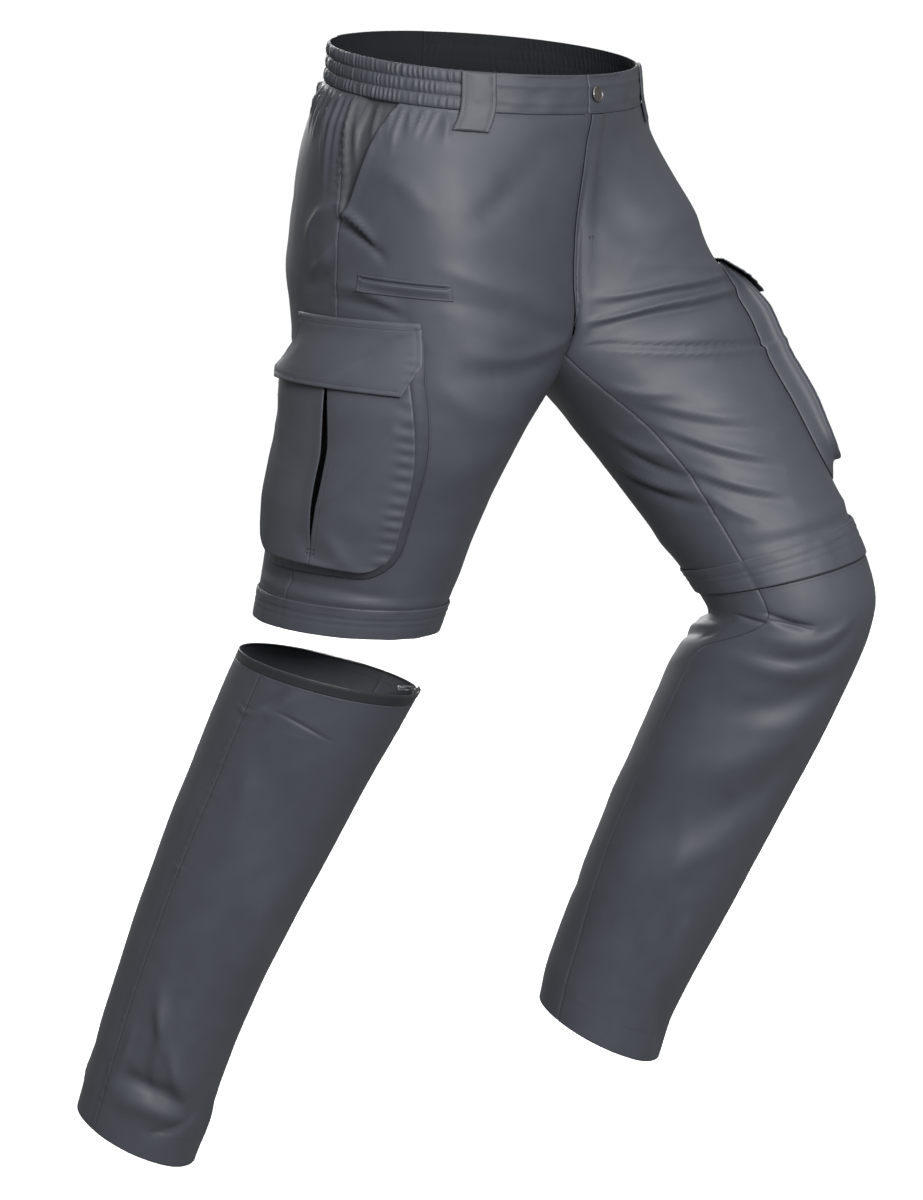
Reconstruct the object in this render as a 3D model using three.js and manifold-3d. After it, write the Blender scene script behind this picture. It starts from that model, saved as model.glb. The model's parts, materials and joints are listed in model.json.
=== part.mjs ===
// Convertible zip-off trousers in their worn, striding shape, hollow, with no wearer inside.
// The left leg is zipped on and bent at the knee. The right leg is unzipped and hangs below its short leg.
// Millimetres, +Z up. The wearer faces -Y, so the wearer's right side is -X.
// The origin is at the middle of the waist, halfway up the waistband.
import * as THREE from "three";
import { mergeVertices } from "three/addons/utils/BufferGeometryUtils.js";
import Module from "manifold-3d";

const RIGHT = -1;
const LEFT = 1;

// Cloth and seams
const WALL = 1.3;
const SEAM_GAP = 0.3;
const LAYER = WALL + SEAM_GAP;
const SEAT = 1.1;
const FLAP_SEAT = 0.9;

// Distances down the side seam, from the lower edge of the waistband
const BAND_HEIGHT = 35;
const CROTCH = 262;
const PANEL_END = 503;
const FLAP_TOP = 485;
const FLAP_END = 515;
const TAPE_TOP = 506.5;
const LOWER_TOP = 516.3;
const HEM = 1015;

// Places around the body, as a share of the way from the centre front (0) to the centre back (1)
const SIDE_SEAM = 0.5;
const SEAM_ANGLE = THREE.MathUtils.degToRad(95);
const GIRTH = 630;

// Direction in which the legs stride, seen from above
const STRIDE = new THREE.Vector2(0.55, -0.835);
const ACROSS = new THREE.Vector2(0.835, 0.55);

// Body sections: distance, height of the middle, forward tilt in degrees, half width,
// depth in front and behind, and squareness of the front (2 is an ellipse)
const BODY = [
  { t: -BAND_HEIGHT, z: 17.5, tilt: 7.5, half: 160, front: 128, back: 128, square: 2.0 },
  { t: 0, z: -17.5, tilt: 7.5, half: 165, front: 130, back: 132, square: 2.0 },
  { t: 30, z: -48, tilt: 7.0, half: 180, front: 124, back: 146, square: 2.2 },
  { t: 81, z: -100, tilt: 6.0, half: 188, front: 119, back: 160, square: 2.8 },
  { t: 136, z: -155, tilt: 4.0, half: 190, front: 119, back: 170, square: 3.0 },
  { t: 192, z: -211, tilt: 2.0, half: 190, front: 119, back: 172, square: 3.0 },
  { t: 262, z: -281, tilt: 0.0, half: 188, front: 112, back: 160, square: 3.0 },
];

// Leg sections: distance, centre, slopes of the section along the stride and across it, then in degrees
// how far the leg is turned out and where its side seam lies, counted from its inner side towards its
// front, and last its radii in front, behind, outside and inside
const RIGHT_LEG = [
  { t: 0, x: -88, y: 0, z: -19, rise: 0, lean: 0, turn: 0, side: 185, front: 130, back: 132, outer: 80, inner: 88 },
  { t: 131, x: -92, y: 0, z: -148, rise: 0, lean: 0, turn: 0, side: 185, front: 128, back: 140, outer: 98, inner: 92 },
  { t: 262, x: -95, y: 2, z: -268, rise: -0.03, lean: 0, turn: 0, side: 185, front: 118, back: 122, outer: 98, inner: 95 },
  { t: 325, x: -99, y: 14, z: -329, rise: -0.05, lean: 0, turn: 0, side: 185, front: 111, back: 112, outer: 96, inner: 94 },
  { t: 382, x: -103, y: 36, z: -383, rise: -0.06, lean: 0, turn: 0, side: 185, front: 103, back: 103, outer: 93, inner: 93 },
  { t: 439, x: -107, y: 54, z: -436, rise: -0.07, lean: 0, turn: 0, side: 185, front: 96, back: 95, outer: 88, inner: 90 },
  { t: 515, x: -112, y: 74, z: -507, rise: -0.08, lean: 0, turn: 0, side: 185, front: 87, back: 86, outer: 84, inner: 84 },
];
const RIGHT_LOWER_LEG = [
  { t: 506, x: -118, y: 89, z: -554, rise: -0.24, lean: -0.05, turn: 0, side: 185, front: 88, back: 88, outer: 87, inner: 84 },
  { t: 604, x: -132, y: 132, z: -641, rise: -0.38, lean: 0, turn: 0, side: 185, front: 80, back: 82, outer: 80, inner: 79 },
  { t: 732, x: -151, y: 184, z: -755, rise: -0.43, lean: 0, turn: 0, side: 185, front: 74, back: 76, outer: 74, inner: 73 },
  { t: 862, x: -169, y: 233, z: -875, rise: -0.46, lean: 0, turn: 0, side: 185, front: 66, back: 68, outer: 67, inner: 66 },
  { t: 1015, x: -187, y: 282, z: -1023, rise: -0.49, lean: 0, turn: 0, side: 185, front: 62, back: 64, outer: 62, inner: 61 },
];
const LEFT_LEG = [
  { t: 0, x: 88, y: 0, z: -19, rise: 0, lean: 0, turn: 0, side: 185, front: 130, back: 132, outer: 80, inner: 88 },
  { t: 131, x: 101, y: -40, z: -148, rise: 0.1, lean: 0, turn: 6, side: 180, front: 128, back: 150, outer: 92, inner: 95 },
  { t: 262, x: 120, y: -84, z: -245, rise: 0.38, lean: 0, turn: 14, side: 165, front: 103, back: 108, outer: 98, inner: 98 },
  { t: 400, x: 148, y: -161, z: -363, rise: 0.46, lean: 0, turn: 20, side: 155, front: 88, back: 90, outer: 90, inner: 88 },
  { t: 515, x: 170, y: -220, z: -464, rise: 0.23, lean: 0, turn: 20, side: 155, front: 80, back: 80, outer: 84, inner: 82 },
  { t: 552, x: 174, y: -230, z: -500, rise: 0.04, lean: 0, turn: 20, side: 156, front: 79, back: 79, outer: 82, inner: 80 },
  { t: 614, x: 165, y: -205, z: -556, rise: -0.26, lean: 0, turn: 19, side: 160, front: 80, back: 82, outer: 80, inner: 78 },
  { t: 790, x: 139, y: -135, z: -714, rise: -0.44, lean: 0, turn: 17, side: 165, front: 75, back: 77, outer: 75, inner: 73 },
  { t: 965, x: 115, y: -66, z: -873, rise: -0.46, lean: 0, turn: 15, side: 165, front: 67, back: 66, outer: 68, inner: 65 },
  { t: 1015, x: 111, y: -52, z: -920, rise: -0.5, lean: 0, turn: 15, side: 165, front: 66, back: 64, outer: 66, inner: 63 },
];

// Each stretch of the garment that hangs together; hip is how much of the leg's form its hip takes
const UPPER_RIGHT = { side: RIGHT, sections: RIGHT_LEG, hip: 0.4 };
const LOWER_RIGHT = { side: RIGHT, sections: RIGHT_LOWER_LEG, hip: 1 };
const WHOLE_LEFT = { side: LEFT, sections: LEFT_LEG, hip: 0.75 };

// Above the crotch, where each leg's front and back panels end on its ring, in degrees from its inner side
const PANEL_ENDS = [
  { t: 0, rightFront: 70, rightBack: 275, leftFront: 60, leftBack: 275 },
  { t: 131, rightFront: 57, rightBack: 272, leftFront: 26, leftBack: 275 },
  { t: 220, rightFront: 56, rightBack: 290, leftFront: 8, leftBack: 272 },
  { t: 240, rightFront: 56, rightBack: 318, leftFront: 2, leftBack: 280 },
  { t: 252, rightFront: 55, rightBack: 356, leftFront: -4, leftBack: 307 },
  { t: 262, rightFront: 54, rightBack: 414, leftFront: -8, leftBack: 352 },
];

// Below it, where each leg's inseam lies on its ring
const INSEAMS = [
  { t: 262, right: 54, left: -8 },
  { t: 325, right: 26, left: -3 },
  { t: 382, right: 8, left: 0 },
  { t: 439, right: 0, left: 0 },
];

// The seam between the legs: the front rise and the back rise meet at the crotch
const RISE = [
  { t: 0, frontY: -130, frontZ: -35, backY: 132, backZ: 0 },
  { t: 81, frontY: -113, frontZ: -112, backY: 160, backZ: -83 },
  { t: 150, frontY: -108, frontZ: -174, backY: 171, backZ: -158 },
  { t: 192, frontY: -108, frontZ: -211, backY: 162, backZ: -206 },
  { t: 220, frontY: -106, frontZ: -232, backY: 136, backZ: -246 },
  { t: 240, frontY: -102, frontZ: -245, backY: 84, backZ: -276 },
  { t: 252, frontY: -99, frontZ: -251, backY: 10, backZ: -290 },
  { t: CROTCH, frontY: -96, frontZ: -256, backY: -96, backZ: -256 },
];
const LEG_BEGINS = 10;
const HIP = 131;
const RISE_BEGINS = 120;
const CROTCH_REACH = 90;
const CROTCH_SPREAD = 0.16;
const CROTCH_FADED = 439;

// The fly: the left front's folded edge lies over the right front as far as the end of the fly
const FLY_OVERLAP = 7;
const FLY_END = 172;
const FLY_FADE = 45;

// Largest folds: where each one starts and ends, its half width and its height (a trough is negative)
const FOLDS = [
  { side: LEFT, t0: 235, a0: 0.06, t1: 268, a1: 0.3, wide: 20, high: -5 },
  { side: LEFT, t0: 262, a0: 0.1, t1: 300, a1: 0.38, wide: 20, high: 4 },
  { side: LEFT, t0: 290, a0: 0.04, t1: 345, a1: 0.33, wide: 20, high: -4 },
  { side: RIGHT, t0: 225, a0: 0.05, t1: 262, a1: 0.25, wide: 20, high: -3 },
];

function degrees(value) {
  return THREE.MathUtils.degToRad(value);
}

function smooth(low, high, value) {
  return THREE.MathUtils.smoothstep(value, low, high);
}

// A table's row at any distance: a smooth curve through each column
function rowAt(table, t) {
  const last = table.length - 1;
  let k = 0;
  while (k < last - 1 && t > table[k + 1].t) k += 1;
  const before = table[Math.max(k - 1, 0)];
  const from = table[k];
  const to = table[k + 1];
  const after = table[Math.min(k + 2, last)];
  const span = to.t - from.t;
  const s = (t - from.t) / span;
  const row = {};
  for (const column of Object.keys(from)) {
    const slopeFrom = (to[column] - before[column]) / (to.t - before.t);
    const slopeTo = (after[column] - from[column]) / (after.t - from.t);
    row[column] =
      (2 * s ** 3 - 3 * s ** 2 + 1) * from[column] +
      (s ** 3 - 2 * s ** 2 + s) * span * slopeFrom +
      (3 * s ** 2 - 2 * s ** 3) * to[column] +
      (s ** 3 - s ** 2) * span * slopeTo;
  }
  row.t = t;
  return row;
}

// A point of the body at an angle from the centre front, positive towards the wearer's left
function bodyPoint(t, angle) {
  const row = rowAt(BODY, t);
  const across = Math.sin(angle);
  const forward = Math.cos(angle);
  const power = forward > 0 ? row.square : 2;
  const depth = forward > 0 ? row.front : row.back;
  const reach = (Math.abs(across) ** power + Math.abs(forward) ** power) ** (-1 / power);
  const x = row.half * across * reach;
  const y = -depth * forward * reach;
  return new THREE.Vector3(x, y, row.z + y * Math.tan(degrees(row.tilt)));
}

// Share of the way round, turned into the angle from the centre front; the side seam lies a little back
function bodyAngle(a) {
  if (a < SIDE_SEAM) return (a / SIDE_SEAM) * SEAM_ANGLE;
  return SEAM_ANGLE + ((a - SIDE_SEAM) / (1 - SIDE_SEAM)) * (Math.PI - SEAM_ANGLE);
}

// Where a leg's ring starts and ends: apart above the crotch, at the inseam below it
function ringEnds(t, side) {
  if (t >= CROTCH) {
    const inseams = rowAt(INSEAMS, Math.min(t, CROTCH_FADED));
    const inseam = degrees(side === RIGHT ? inseams.right : inseams.left);
    return [inseam, inseam + 2 * Math.PI];
  }
  const ends = rowAt(PANEL_ENDS, t);
  if (side === RIGHT) return [degrees(ends.rightFront), degrees(ends.rightBack)];
  return [degrees(ends.leftFront), degrees(ends.leftBack)];
}

// A point of a leg's ring: it starts at the inseam and passes the front, the side seam and the back
function ringPoint(row, side, a) {
  const slope = STRIDE.clone().multiplyScalar(row.rise).addScaledVector(ACROSS, row.lean);
  const turn = degrees(row.turn) * side;
  const forward = new THREE.Vector3(Math.sin(turn), -Math.cos(turn), 0);
  forward.z = slope.x * forward.x + slope.y * forward.y;
  forward.normalize();
  const up = new THREE.Vector3(-slope.x, -slope.y, 1).normalize();
  const outward = up.clone().cross(forward).multiplyScalar(side);
  const [start, end] = ringEnds(row.t, side);
  const outside = degrees(row.side);
  const angle =
    a < SIDE_SEAM
      ? THREE.MathUtils.lerp(start, outside, a / SIDE_SEAM)
      : THREE.MathUtils.lerp(outside, end, (a - SIDE_SEAM) / (1 - SIDE_SEAM));
  const inward = Math.cos(angle);
  const ahead = Math.sin(angle);
  return new THREE.Vector3(row.x, row.y, row.z)
    .addScaledVector(outward, -inward * (inward > 0 ? row.inner : row.outer))
    .addScaledVector(forward, ahead * (ahead > 0 ? row.front : row.back));
}

function opposite(leg) {
  return leg === WHOLE_LEFT ? UPPER_RIGHT : WHOLE_LEFT;
}

// The body's section turns into the leg's ring between the hip and the crotch
function blendedPoint(leg, t, a) {
  const ring = ringPoint(rowAt(leg.sections, t), leg.side, a);
  if (t >= CROTCH) return ring;
  const share = leg.hip * smooth(LEG_BEGINS, HIP, t) + (1 - leg.hip) * smooth(HIP, CROTCH, t);
  return bodyPoint(t, leg.side * bodyAngle(a)).lerp(ring, share);
}

// Where the centre seam runs: in front for end 0, behind for end 1
function centreSeam(leg, t, end) {
  const onBody = bodyPoint(Math.min(t, CROTCH), leg.side * bodyAngle(end));
  const row = rowAt(RISE, Math.min(t, CROTCH));
  const y = end === 0 ? row.frontY : row.backY;
  const z = end === 0 ? row.frontZ : row.backZ;
  return onBody.lerp(new THREE.Vector3(0, y, z), smooth(LEG_BEGINS, RISE_BEGINS, t));
}

// The two legs never pass through the plane between them above the end of the crotch
function clearOfMiddle(leg, t, point) {
  if (t < CROTCH + CROTCH_REACH) point.x = leg.side * Math.max(leg.side * point.x, SEAM_GAP / 2);
  return point;
}

// The garment's surface without its folds
function basePoint(leg, t, a) {
  const point = blendedPoint(leg, t, a);
  if (t > CROTCH + CROTCH_REACH) return point;
  const fade = 1 - smooth(CROTCH, CROTCH + CROTCH_REACH, t);
  const top = Math.min(t, CROTCH);
  for (const end of [0, 1]) {
    const near = Math.abs(a - end) / CROTCH_SPREAD;
    const pull = centreSeam(leg, top, end).sub(blendedPoint(leg, top, end));
    if (near < 1) point.addScaledVector(pull, fade * (1 - smooth(0, 1, near)));
  }
  return clearOfMiddle(leg, t, point);
}

// The way out of the cloth; below the crotch the two sides of the inseam share it
function outwardNormal(leg, t, a) {
  const closed = t >= CROTCH;
  const low = a - 0.004;
  const high = a + 0.004;
  const after = closed && high > 1 ? high - 1 : Math.min(high, 1);
  const before = closed && low < 0 ? low + 1 : Math.max(low, 0);
  const around = basePoint(leg, t, after).sub(basePoint(leg, t, before));
  const above = closed ? Math.max(t - 2, CROTCH) : t - 2;
  const down = basePoint(leg, t + 2, a).sub(basePoint(leg, above, a));
  return down.cross(around).multiplyScalar(leg.side).normalize();
}

// Height of the folds: each is a soft ridge or trough along a line, fading out at its ends
function foldHeight(leg, t, a) {
  let height = 0;
  for (const fold of FOLDS) {
    if (fold.side !== leg.side) continue;
    const along = new THREE.Vector2(fold.t1 - fold.t0, (fold.a1 - fold.a0) * GIRTH);
    const from = new THREE.Vector2(t - fold.t0, (a - fold.a0) * GIRTH);
    const share = THREE.MathUtils.clamp(from.dot(along) / along.lengthSq(), 0, 1);
    const distance = from.addScaledVector(along, -share).length();
    const taper = Math.sin(Math.PI * THREE.MathUtils.clamp(share, 0.08, 0.92));
    height += fold.high * taper * Math.exp(-((distance / fold.wide) ** 2));
  }
  return height;
}

// A point of the garment, moved out by a lift; below zero a it lies on the other half
function surface(leg, t, a, lift = 0) {
  if (a < 0) return surface(opposite(leg), t, -a, lift);
  const height = lift + foldHeight(leg, t, a);
  const point = basePoint(leg, t, a).addScaledVector(outwardNormal(leg, t, a), height);
  return clearOfMiddle(leg, t, point);
}

// A point of the waistband, moved out by a lift
function bandPoint(t, angle, lift) {
  const around = bodyPoint(t, angle + 0.01).sub(bodyPoint(t, angle - 0.01));
  const down = bodyPoint(t + 2, angle).sub(bodyPoint(t - 2, angle));
  return bodyPoint(t, angle).addScaledVector(down.cross(around).normalize(), lift);
}

// Steps from one value to another, both ends included
function steps(from, to, count) {
  return Array.from({ length: count + 1 }, (_, i) => from + ((to - from) * i) / count);
}

// Triangles between two lists of corners that run the same way
function bridge(faces, first, second, turned) {
  let p = 0;
  let q = 0;
  while (p < first.length - 1 || q < second.length - 1) {
    const nextFirst = (p + 1) / (first.length - 1);
    const nextSecond = (q + 1) / (second.length - 1);
    const advance = q >= second.length - 1 || (p < first.length - 1 && nextFirst <= nextSecond);
    const face = advance ? [first[p], first[p + 1], second[q]] : [first[p], second[q + 1], second[q]];
    faces.push(...(turned ? face.reverse() : face));
    if (advance) p += 1;
    else q += 1;
  }
}

// A closed wall of cloth. place(u, v, depth) gives its points, depth 0 outside and 1 inside;
// a tube's last column is joined to its first, and a plain inside has only its edge rows.
function clothGeometry(us, vs, place, { tube = false, plainInside = false } = {}) {
  const corners = [];
  const grid = (rows, depth) =>
    us.map((u) =>
      rows.map((v) => {
        const point = place(u, v, depth);
        corners.push(point.x, point.y, point.z);
        return corners.length / 3 - 1;
      }),
    );
  const outer = grid(vs, 0);
  const inner = grid(plainInside ? [vs[0], vs[vs.length - 1]] : vs, 1);
  if (tube) {
    outer.push(outer[0]);
    inner.push(inner[0]);
  }
  const faces = [];
  for (let i = 0; i + 1 < outer.length; i += 1) {
    for (let j = 0; j + 1 < outer[0].length; j += 1) {
      const [a, b, c, d] = [outer[i][j], outer[i + 1][j], outer[i + 1][j + 1], outer[i][j + 1]];
      faces.push(a, b, c, a, c, d);
    }
    for (let j = 0; j + 1 < inner[0].length; j += 1) {
      const [a, b, c, d] = [inner[i][j], inner[i + 1][j], inner[i + 1][j + 1], inner[i][j + 1]];
      faces.push(a, c, b, a, d, c);
    }
  }
  const row = (columns, last) => columns.map((column) => column[last ? column.length - 1 : 0]);
  bridge(faces, row(outer, false), row(inner, false), true);
  bridge(faces, row(outer, true), row(inner, true), false);
  if (!tube) {
    bridge(faces, outer[0], inner[0], false);
    bridge(faces, outer[outer.length - 1], inner[inner.length - 1], true);
  }
  return facingOut(corners, faces);
}

// A geometry whose faces point out of the solid
function facingOut(corners, faces) {
  const corner = (k) => new THREE.Vector3().fromArray(corners, faces[k] * 3);
  let volume = 0;
  for (let k = 0; k < faces.length; k += 3) volume += corner(k).dot(corner(k + 1).cross(corner(k + 2)));
  const ordered = volume < 0 ? faces.slice().reverse() : faces;
  const geometry = new THREE.BufferGeometry();
  geometry.setAttribute("position", new THREE.Float32BufferAttribute(corners, 3));
  geometry.setIndex(ordered);
  geometry.computeVertexNormals();
  return geometry;
}

const CLOTH = new THREE.MeshStandardMaterial({ color: 0x5c5f65, roughness: 0.82, metalness: 0 });
const BAND_CLOTH = new THREE.MeshStandardMaterial({ color: 0x565960, roughness: 0.8, metalness: 0 });
const FACING_CLOTH = new THREE.MeshStandardMaterial({ color: 0x515459, roughness: 0.85, metalness: 0 });
const TAPE_CLOTH = new THREE.MeshStandardMaterial({ color: 0x2c2d30, roughness: 0.75, metalness: 0 });
const BUTTON_METAL = new THREE.MeshStandardMaterial({ color: 0x6b6b6c, roughness: 0.35, metalness: 1 });
const SLIDER_METAL = new THREE.MeshStandardMaterial({ color: 0x1b1b1d, roughness: 0.4, metalness: 0.6 });
const PULL_METAL = new THREE.MeshStandardMaterial({ color: 0x232326, roughness: 0.38, metalness: 0.7 });

const trousers = new THREE.Group();

function addPiece(name, material, geometry) {
  const mesh = new THREE.Mesh(geometry, material);
  mesh.name = name;
  trousers.add(mesh);
  return mesh;
}

function sideName(side) {
  return side === RIGHT ? "right" : "left";
}

// Half of a seam's gap, as a share of the way round
const INSET = SEAM_GAP / 2 / GIRTH;

// The slanted hand pocket's mouth: the front panel ends there instead of at the side seam
const HAND_POCKET = { top: 0.395, end: 118, under: 0.035, below: 10, deep: 3.0 };

function frontEdge(t) {
  const share = THREE.MathUtils.clamp(t / HAND_POCKET.end, 0, 1);
  return HAND_POCKET.top + (SIDE_SEAM - HAND_POCKET.top) * share;
}

function flyOverlap(t) {
  return (FLY_OVERLAP / GIRTH) * (1 - smooth(FLY_END, FLY_END + FLY_FADE, t));
}

// The left front lies on the right front along the fly and comes down to its own level beside it
function flyLift(leg, t, a) {
  if (leg !== WHOLE_LEFT || t > CROTCH) return 0;
  const ending = 1 - smooth(FLY_END + FLY_FADE, CROTCH - 8, t);
  return LAYER * ending * (1 - smooth(0.012, 0.035, a));
}

const UPPER_ROWS = [
  ...steps(SEAM_GAP, 192, 8),
  ...[212, 228, 242, 253, CROTCH, 275, 295],
  ...steps(318, PANEL_END, 8),
];
const LOWER_ROWS = steps(LOWER_TOP, HEM, 18);
const COLUMNS = steps(0, 1, 10);
const FLY_COLUMNS = [0, 0.05, 0.1, ...steps(0.2, 1, 8)];

function upperFront(leg) {
  const isLeft = leg === WHOLE_LEFT;
  const place = (u, t, depth) => {
    const from = t >= CROTCH ? INSET : isLeft ? -flyOverlap(t) : 0;
    const a = from + (frontEdge(t) - INSET - from) * u;
    return surface(leg, t, a, flyLift(leg, t, a) - WALL * depth);
  };
  const geometry = clothGeometry(isLeft ? FLY_COLUMNS : COLUMNS, UPPER_ROWS, place);
  addPiece(`upper_front_${sideName(leg.side)}`, CLOTH, geometry);
}

function upperBack(leg) {
  const place = (u, t, depth) => {
    const to = t >= CROTCH ? 1 - INSET : 1;
    const from = SIDE_SEAM + INSET;
    return surface(leg, t, from + (to - from) * u, -WALL * depth);
  };
  addPiece(`upper_back_${sideName(leg.side)}`, CLOTH, clothGeometry(COLUMNS, UPPER_ROWS, place));
}

function pocketFacing(leg) {
  const place = (u, t, depth) => {
    const from = frontEdge(t) - HAND_POCKET.under;
    const a = from + (SIDE_SEAM - INSET - from) * u;
    return surface(leg, t, a, -HAND_POCKET.deep - WALL * depth);
  };
  const rows = steps(SEAM_GAP, HAND_POCKET.end + HAND_POCKET.below, 6);
  addPiece(`pocket_facing_${sideName(leg.side)}`, FACING_CLOTH, clothGeometry(steps(0, 1, 3), rows, place));
}

function lowerPanel(leg, kind) {
  const from = kind === "front" ? INSET : SIDE_SEAM + INSET;
  const to = kind === "front" ? SIDE_SEAM - INSET : 1 - INSET;
  const place = (u, t, depth) => surface(leg, t, from + (to - from) * u, -WALL * depth);
  addPiece(`lower_${kind}_${sideName(leg.side)}`, CLOTH, clothGeometry(COLUMNS, LOWER_ROWS, place));
}

// A tube of cloth round a leg, such as a zip's tape or the flap that covers it
function legBand(name, material, leg, from, to, lift, rows, columns) {
  const place = (u, t, depth) => surface(leg, t, u, lift - WALL * depth);
  const us = steps(0, 1, columns).slice(0, -1);
  addPiece(name, material, clothGeometry(us, steps(from, to, rows), place, { tube: true }));
}

// Waistband: plain fronts and back, gathered elastic sides with three channels
const BAND = { out: 1.0, in: -1.4, lap: 8, elasticFrom: 46, elasticTo: 160, gathers: 41 };
const CHANNELS = 3;
const GATHER = { high: 1.1, seam: -0.5, seamHigh: 0.25 };

function bandPiece(name, fromAngle, toAngle, columns) {
  const place = (u, t, depth) => {
    const angle = fromAngle + (toAngle - fromAngle) * u;
    return bandPoint(t, angle, depth === 0 ? BAND.out : BAND.in);
  };
  addPiece(name, BAND_CLOTH, clothGeometry(steps(0, 1, columns), steps(-BAND_HEIGHT, 0, 2), place));
}

function elasticSide(side) {
  const gap = SEAM_GAP / 150;
  const from = degrees(BAND.elasticFrom) + gap;
  const to = degrees(BAND.elasticTo) - gap;
  const place = (u, t, depth) => {
    const angle = side * (from + (to - from) * u);
    if (depth === 1) return bandPoint(t, angle, BAND.in);
    const channel = ((t + BAND_HEIGHT) / BAND_HEIGHT) * CHANNELS;
    const middle = Math.sin(Math.PI * channel) ** 2;
    const high = THREE.MathUtils.lerp(GATHER.seamHigh, GATHER.high, middle);
    const seam = THREE.MathUtils.lerp(GATHER.seam, 0, middle);
    return bandPoint(t, angle, BAND.out + seam + high * Math.cos(2 * Math.PI * BAND.gathers * u));
  };
  const us = steps(0, 1, 2 * BAND.gathers);
  const geometry = clothGeometry(us, steps(-BAND_HEIGHT, 0, 2 * CHANNELS), place, { plainInside: true });
  addPiece(`waistband_elastic_${sideName(side)}`, BAND_CLOTH, geometry);
}

function waistband() {
  const lap = -BAND.lap / 130;
  const edge = degrees(BAND.elasticFrom);
  const back = degrees(BAND.elasticTo);
  const gap = SEAM_GAP / 130;
  bandPiece("waistband_front_left", lap + gap / 2, edge, 5);
  bandPiece("waistband_front_right", lap - gap / 2, -edge, 5);
  bandPiece("waistband_back", back, 2 * Math.PI - back, 6);
  elasticSide(RIGHT);
  elasticSide(LEFT);
}

// Belt loops: sewn on at both ends and standing off the band between them
const LOOP = { top: -34.5, end: 18, wide: 32, seat: 1.4, stand: 3.4, wall: 1.8 };

function beltLoop(name, angle, wide) {
  const place = (u, v, depth) => {
    const t = LOOP.top + (LOOP.end - LOOP.top) * v;
    const stand = LOOP.stand * Math.sin(Math.PI * v) ** 0.6;
    const across = ((u - 0.5) * wide) / 148;
    return bandPoint(t, angle + across, LOOP.seat + stand + LOOP.wall * (1 - depth));
  };
  addPiece(name, BAND_CLOTH, clothGeometry(steps(0, 1, 2), steps(0, 1, 8), place));
}

// Welt pocket on the right thigh: a narrow strip that climbs a little towards the front
const WELT = { backA: 0.449, frontA: 0.268, backT: 155, frontT: 161, tall: 17 };

function weltPocket() {
  const place = (u, v, depth) => {
    const t = THREE.MathUtils.lerp(WELT.backT, WELT.frontT, u) + WELT.tall * v;
    const a = THREE.MathUtils.lerp(WELT.backA, WELT.frontA, u);
    return surface(UPPER_RIGHT, t, a, SEAT + WALL * (1 - depth));
  };
  addPiece("welt_pocket_right", CLOTH, clothGeometry(steps(0, 1, 6), steps(0, 1, 2), place));
}

// Cargo pocket: where its back and front edges lie, as shares of the way round the thigh, its size, the
// round of its lower corners, and how far its face is drawn in from the outline that is sewn to the thigh
const CARGO = { backTop: 0.62, backFoot: 0.595, front: 0.33, wide: 172, top: 207, foot: 455 };
const CARGO_CORNER = 36;
const CARGO_FACE_INSET = 12;
const CARGO_STAND = { top: 4, belly: 20, foot: 16, backShare: 0.65, frontShare: 1.15 };
const CARGO_SLIT = { top: 64, foot: 92, lip: 1.4 };
const CARGO_FLAP = { top: 200, foot: 272, chamferTall: 30, chamferWide: 20, lift: 4 };

// A point of the pocket: millimetres forward of its back edge and down the leg
function onThigh(leg, forward, t, lift) {
  const down = (t - CARGO.top) / (CARGO.foot - CARGO.top);
  const back = THREE.MathUtils.lerp(CARGO.backTop, CARGO.backFoot, down);
  return surface(leg, t, THREE.MathUtils.lerp(back, CARGO.front, forward / CARGO.wide), lift);
}

// How far a rounded lower corner draws the sides in
function cornerInset(t, foot, corner) {
  const into = Math.max(t - (foot - corner), 0);
  return corner - Math.sqrt(Math.max(corner ** 2 - into ** 2, 0));
}

// How far the face stands off the thigh: most at its belly and towards the front
function cargoStand(forward, t) {
  const share = (t - CARGO.top) / (CARGO.foot - CARGO.top);
  const rise = smooth(0, 0.35, share) * (CARGO_STAND.belly - CARGO_STAND.top);
  const fall = smooth(0.7, 1, share) * (CARGO_STAND.belly - CARGO_STAND.foot);
  const { backShare, frontShare } = CARGO_STAND;
  const ahead = THREE.MathUtils.lerp(backShare, frontShare, forward / CARGO.wide);
  return (CARGO_STAND.top + rise - fall) * ahead;
}

// The face is one panel on each side of the slit; the front one's edge lies a little higher
function cargoPanel(name, leg, ahead, columns) {
  const foot = CARGO.foot - CARGO_FACE_INSET;
  const corner = CARGO_CORNER - CARGO_FACE_INSET / 2;
  const rows = [...steps(CARGO.top, foot - corner, 7), foot - corner / 2, foot - corner / 6, foot - SEAM_GAP];
  const place = (u, t, depth) => {
    const inset = CARGO_FACE_INSET + cornerInset(t, foot, corner);
    const down = (t - CARGO.top) / (CARGO.foot - CARGO.top);
    const slit = THREE.MathUtils.lerp(CARGO_SLIT.top, CARGO_SLIT.foot, down);
    const low = ahead ? slit + SEAM_GAP / 2 : inset;
    const high = ahead ? CARGO.wide - inset : slit - SEAM_GAP / 2;
    const edge = ahead ? CARGO_SLIT.lip * (1 - smooth(0, 0.15, u)) : 0;
    const forward = low + (high - low) * u;
    return onThigh(leg, forward, t, cargoStand(forward, t) + edge + WALL * (1 - depth));
  };
  addPiece(name, CLOTH, clothGeometry(steps(0, 1, columns), rows, place));
}

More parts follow.
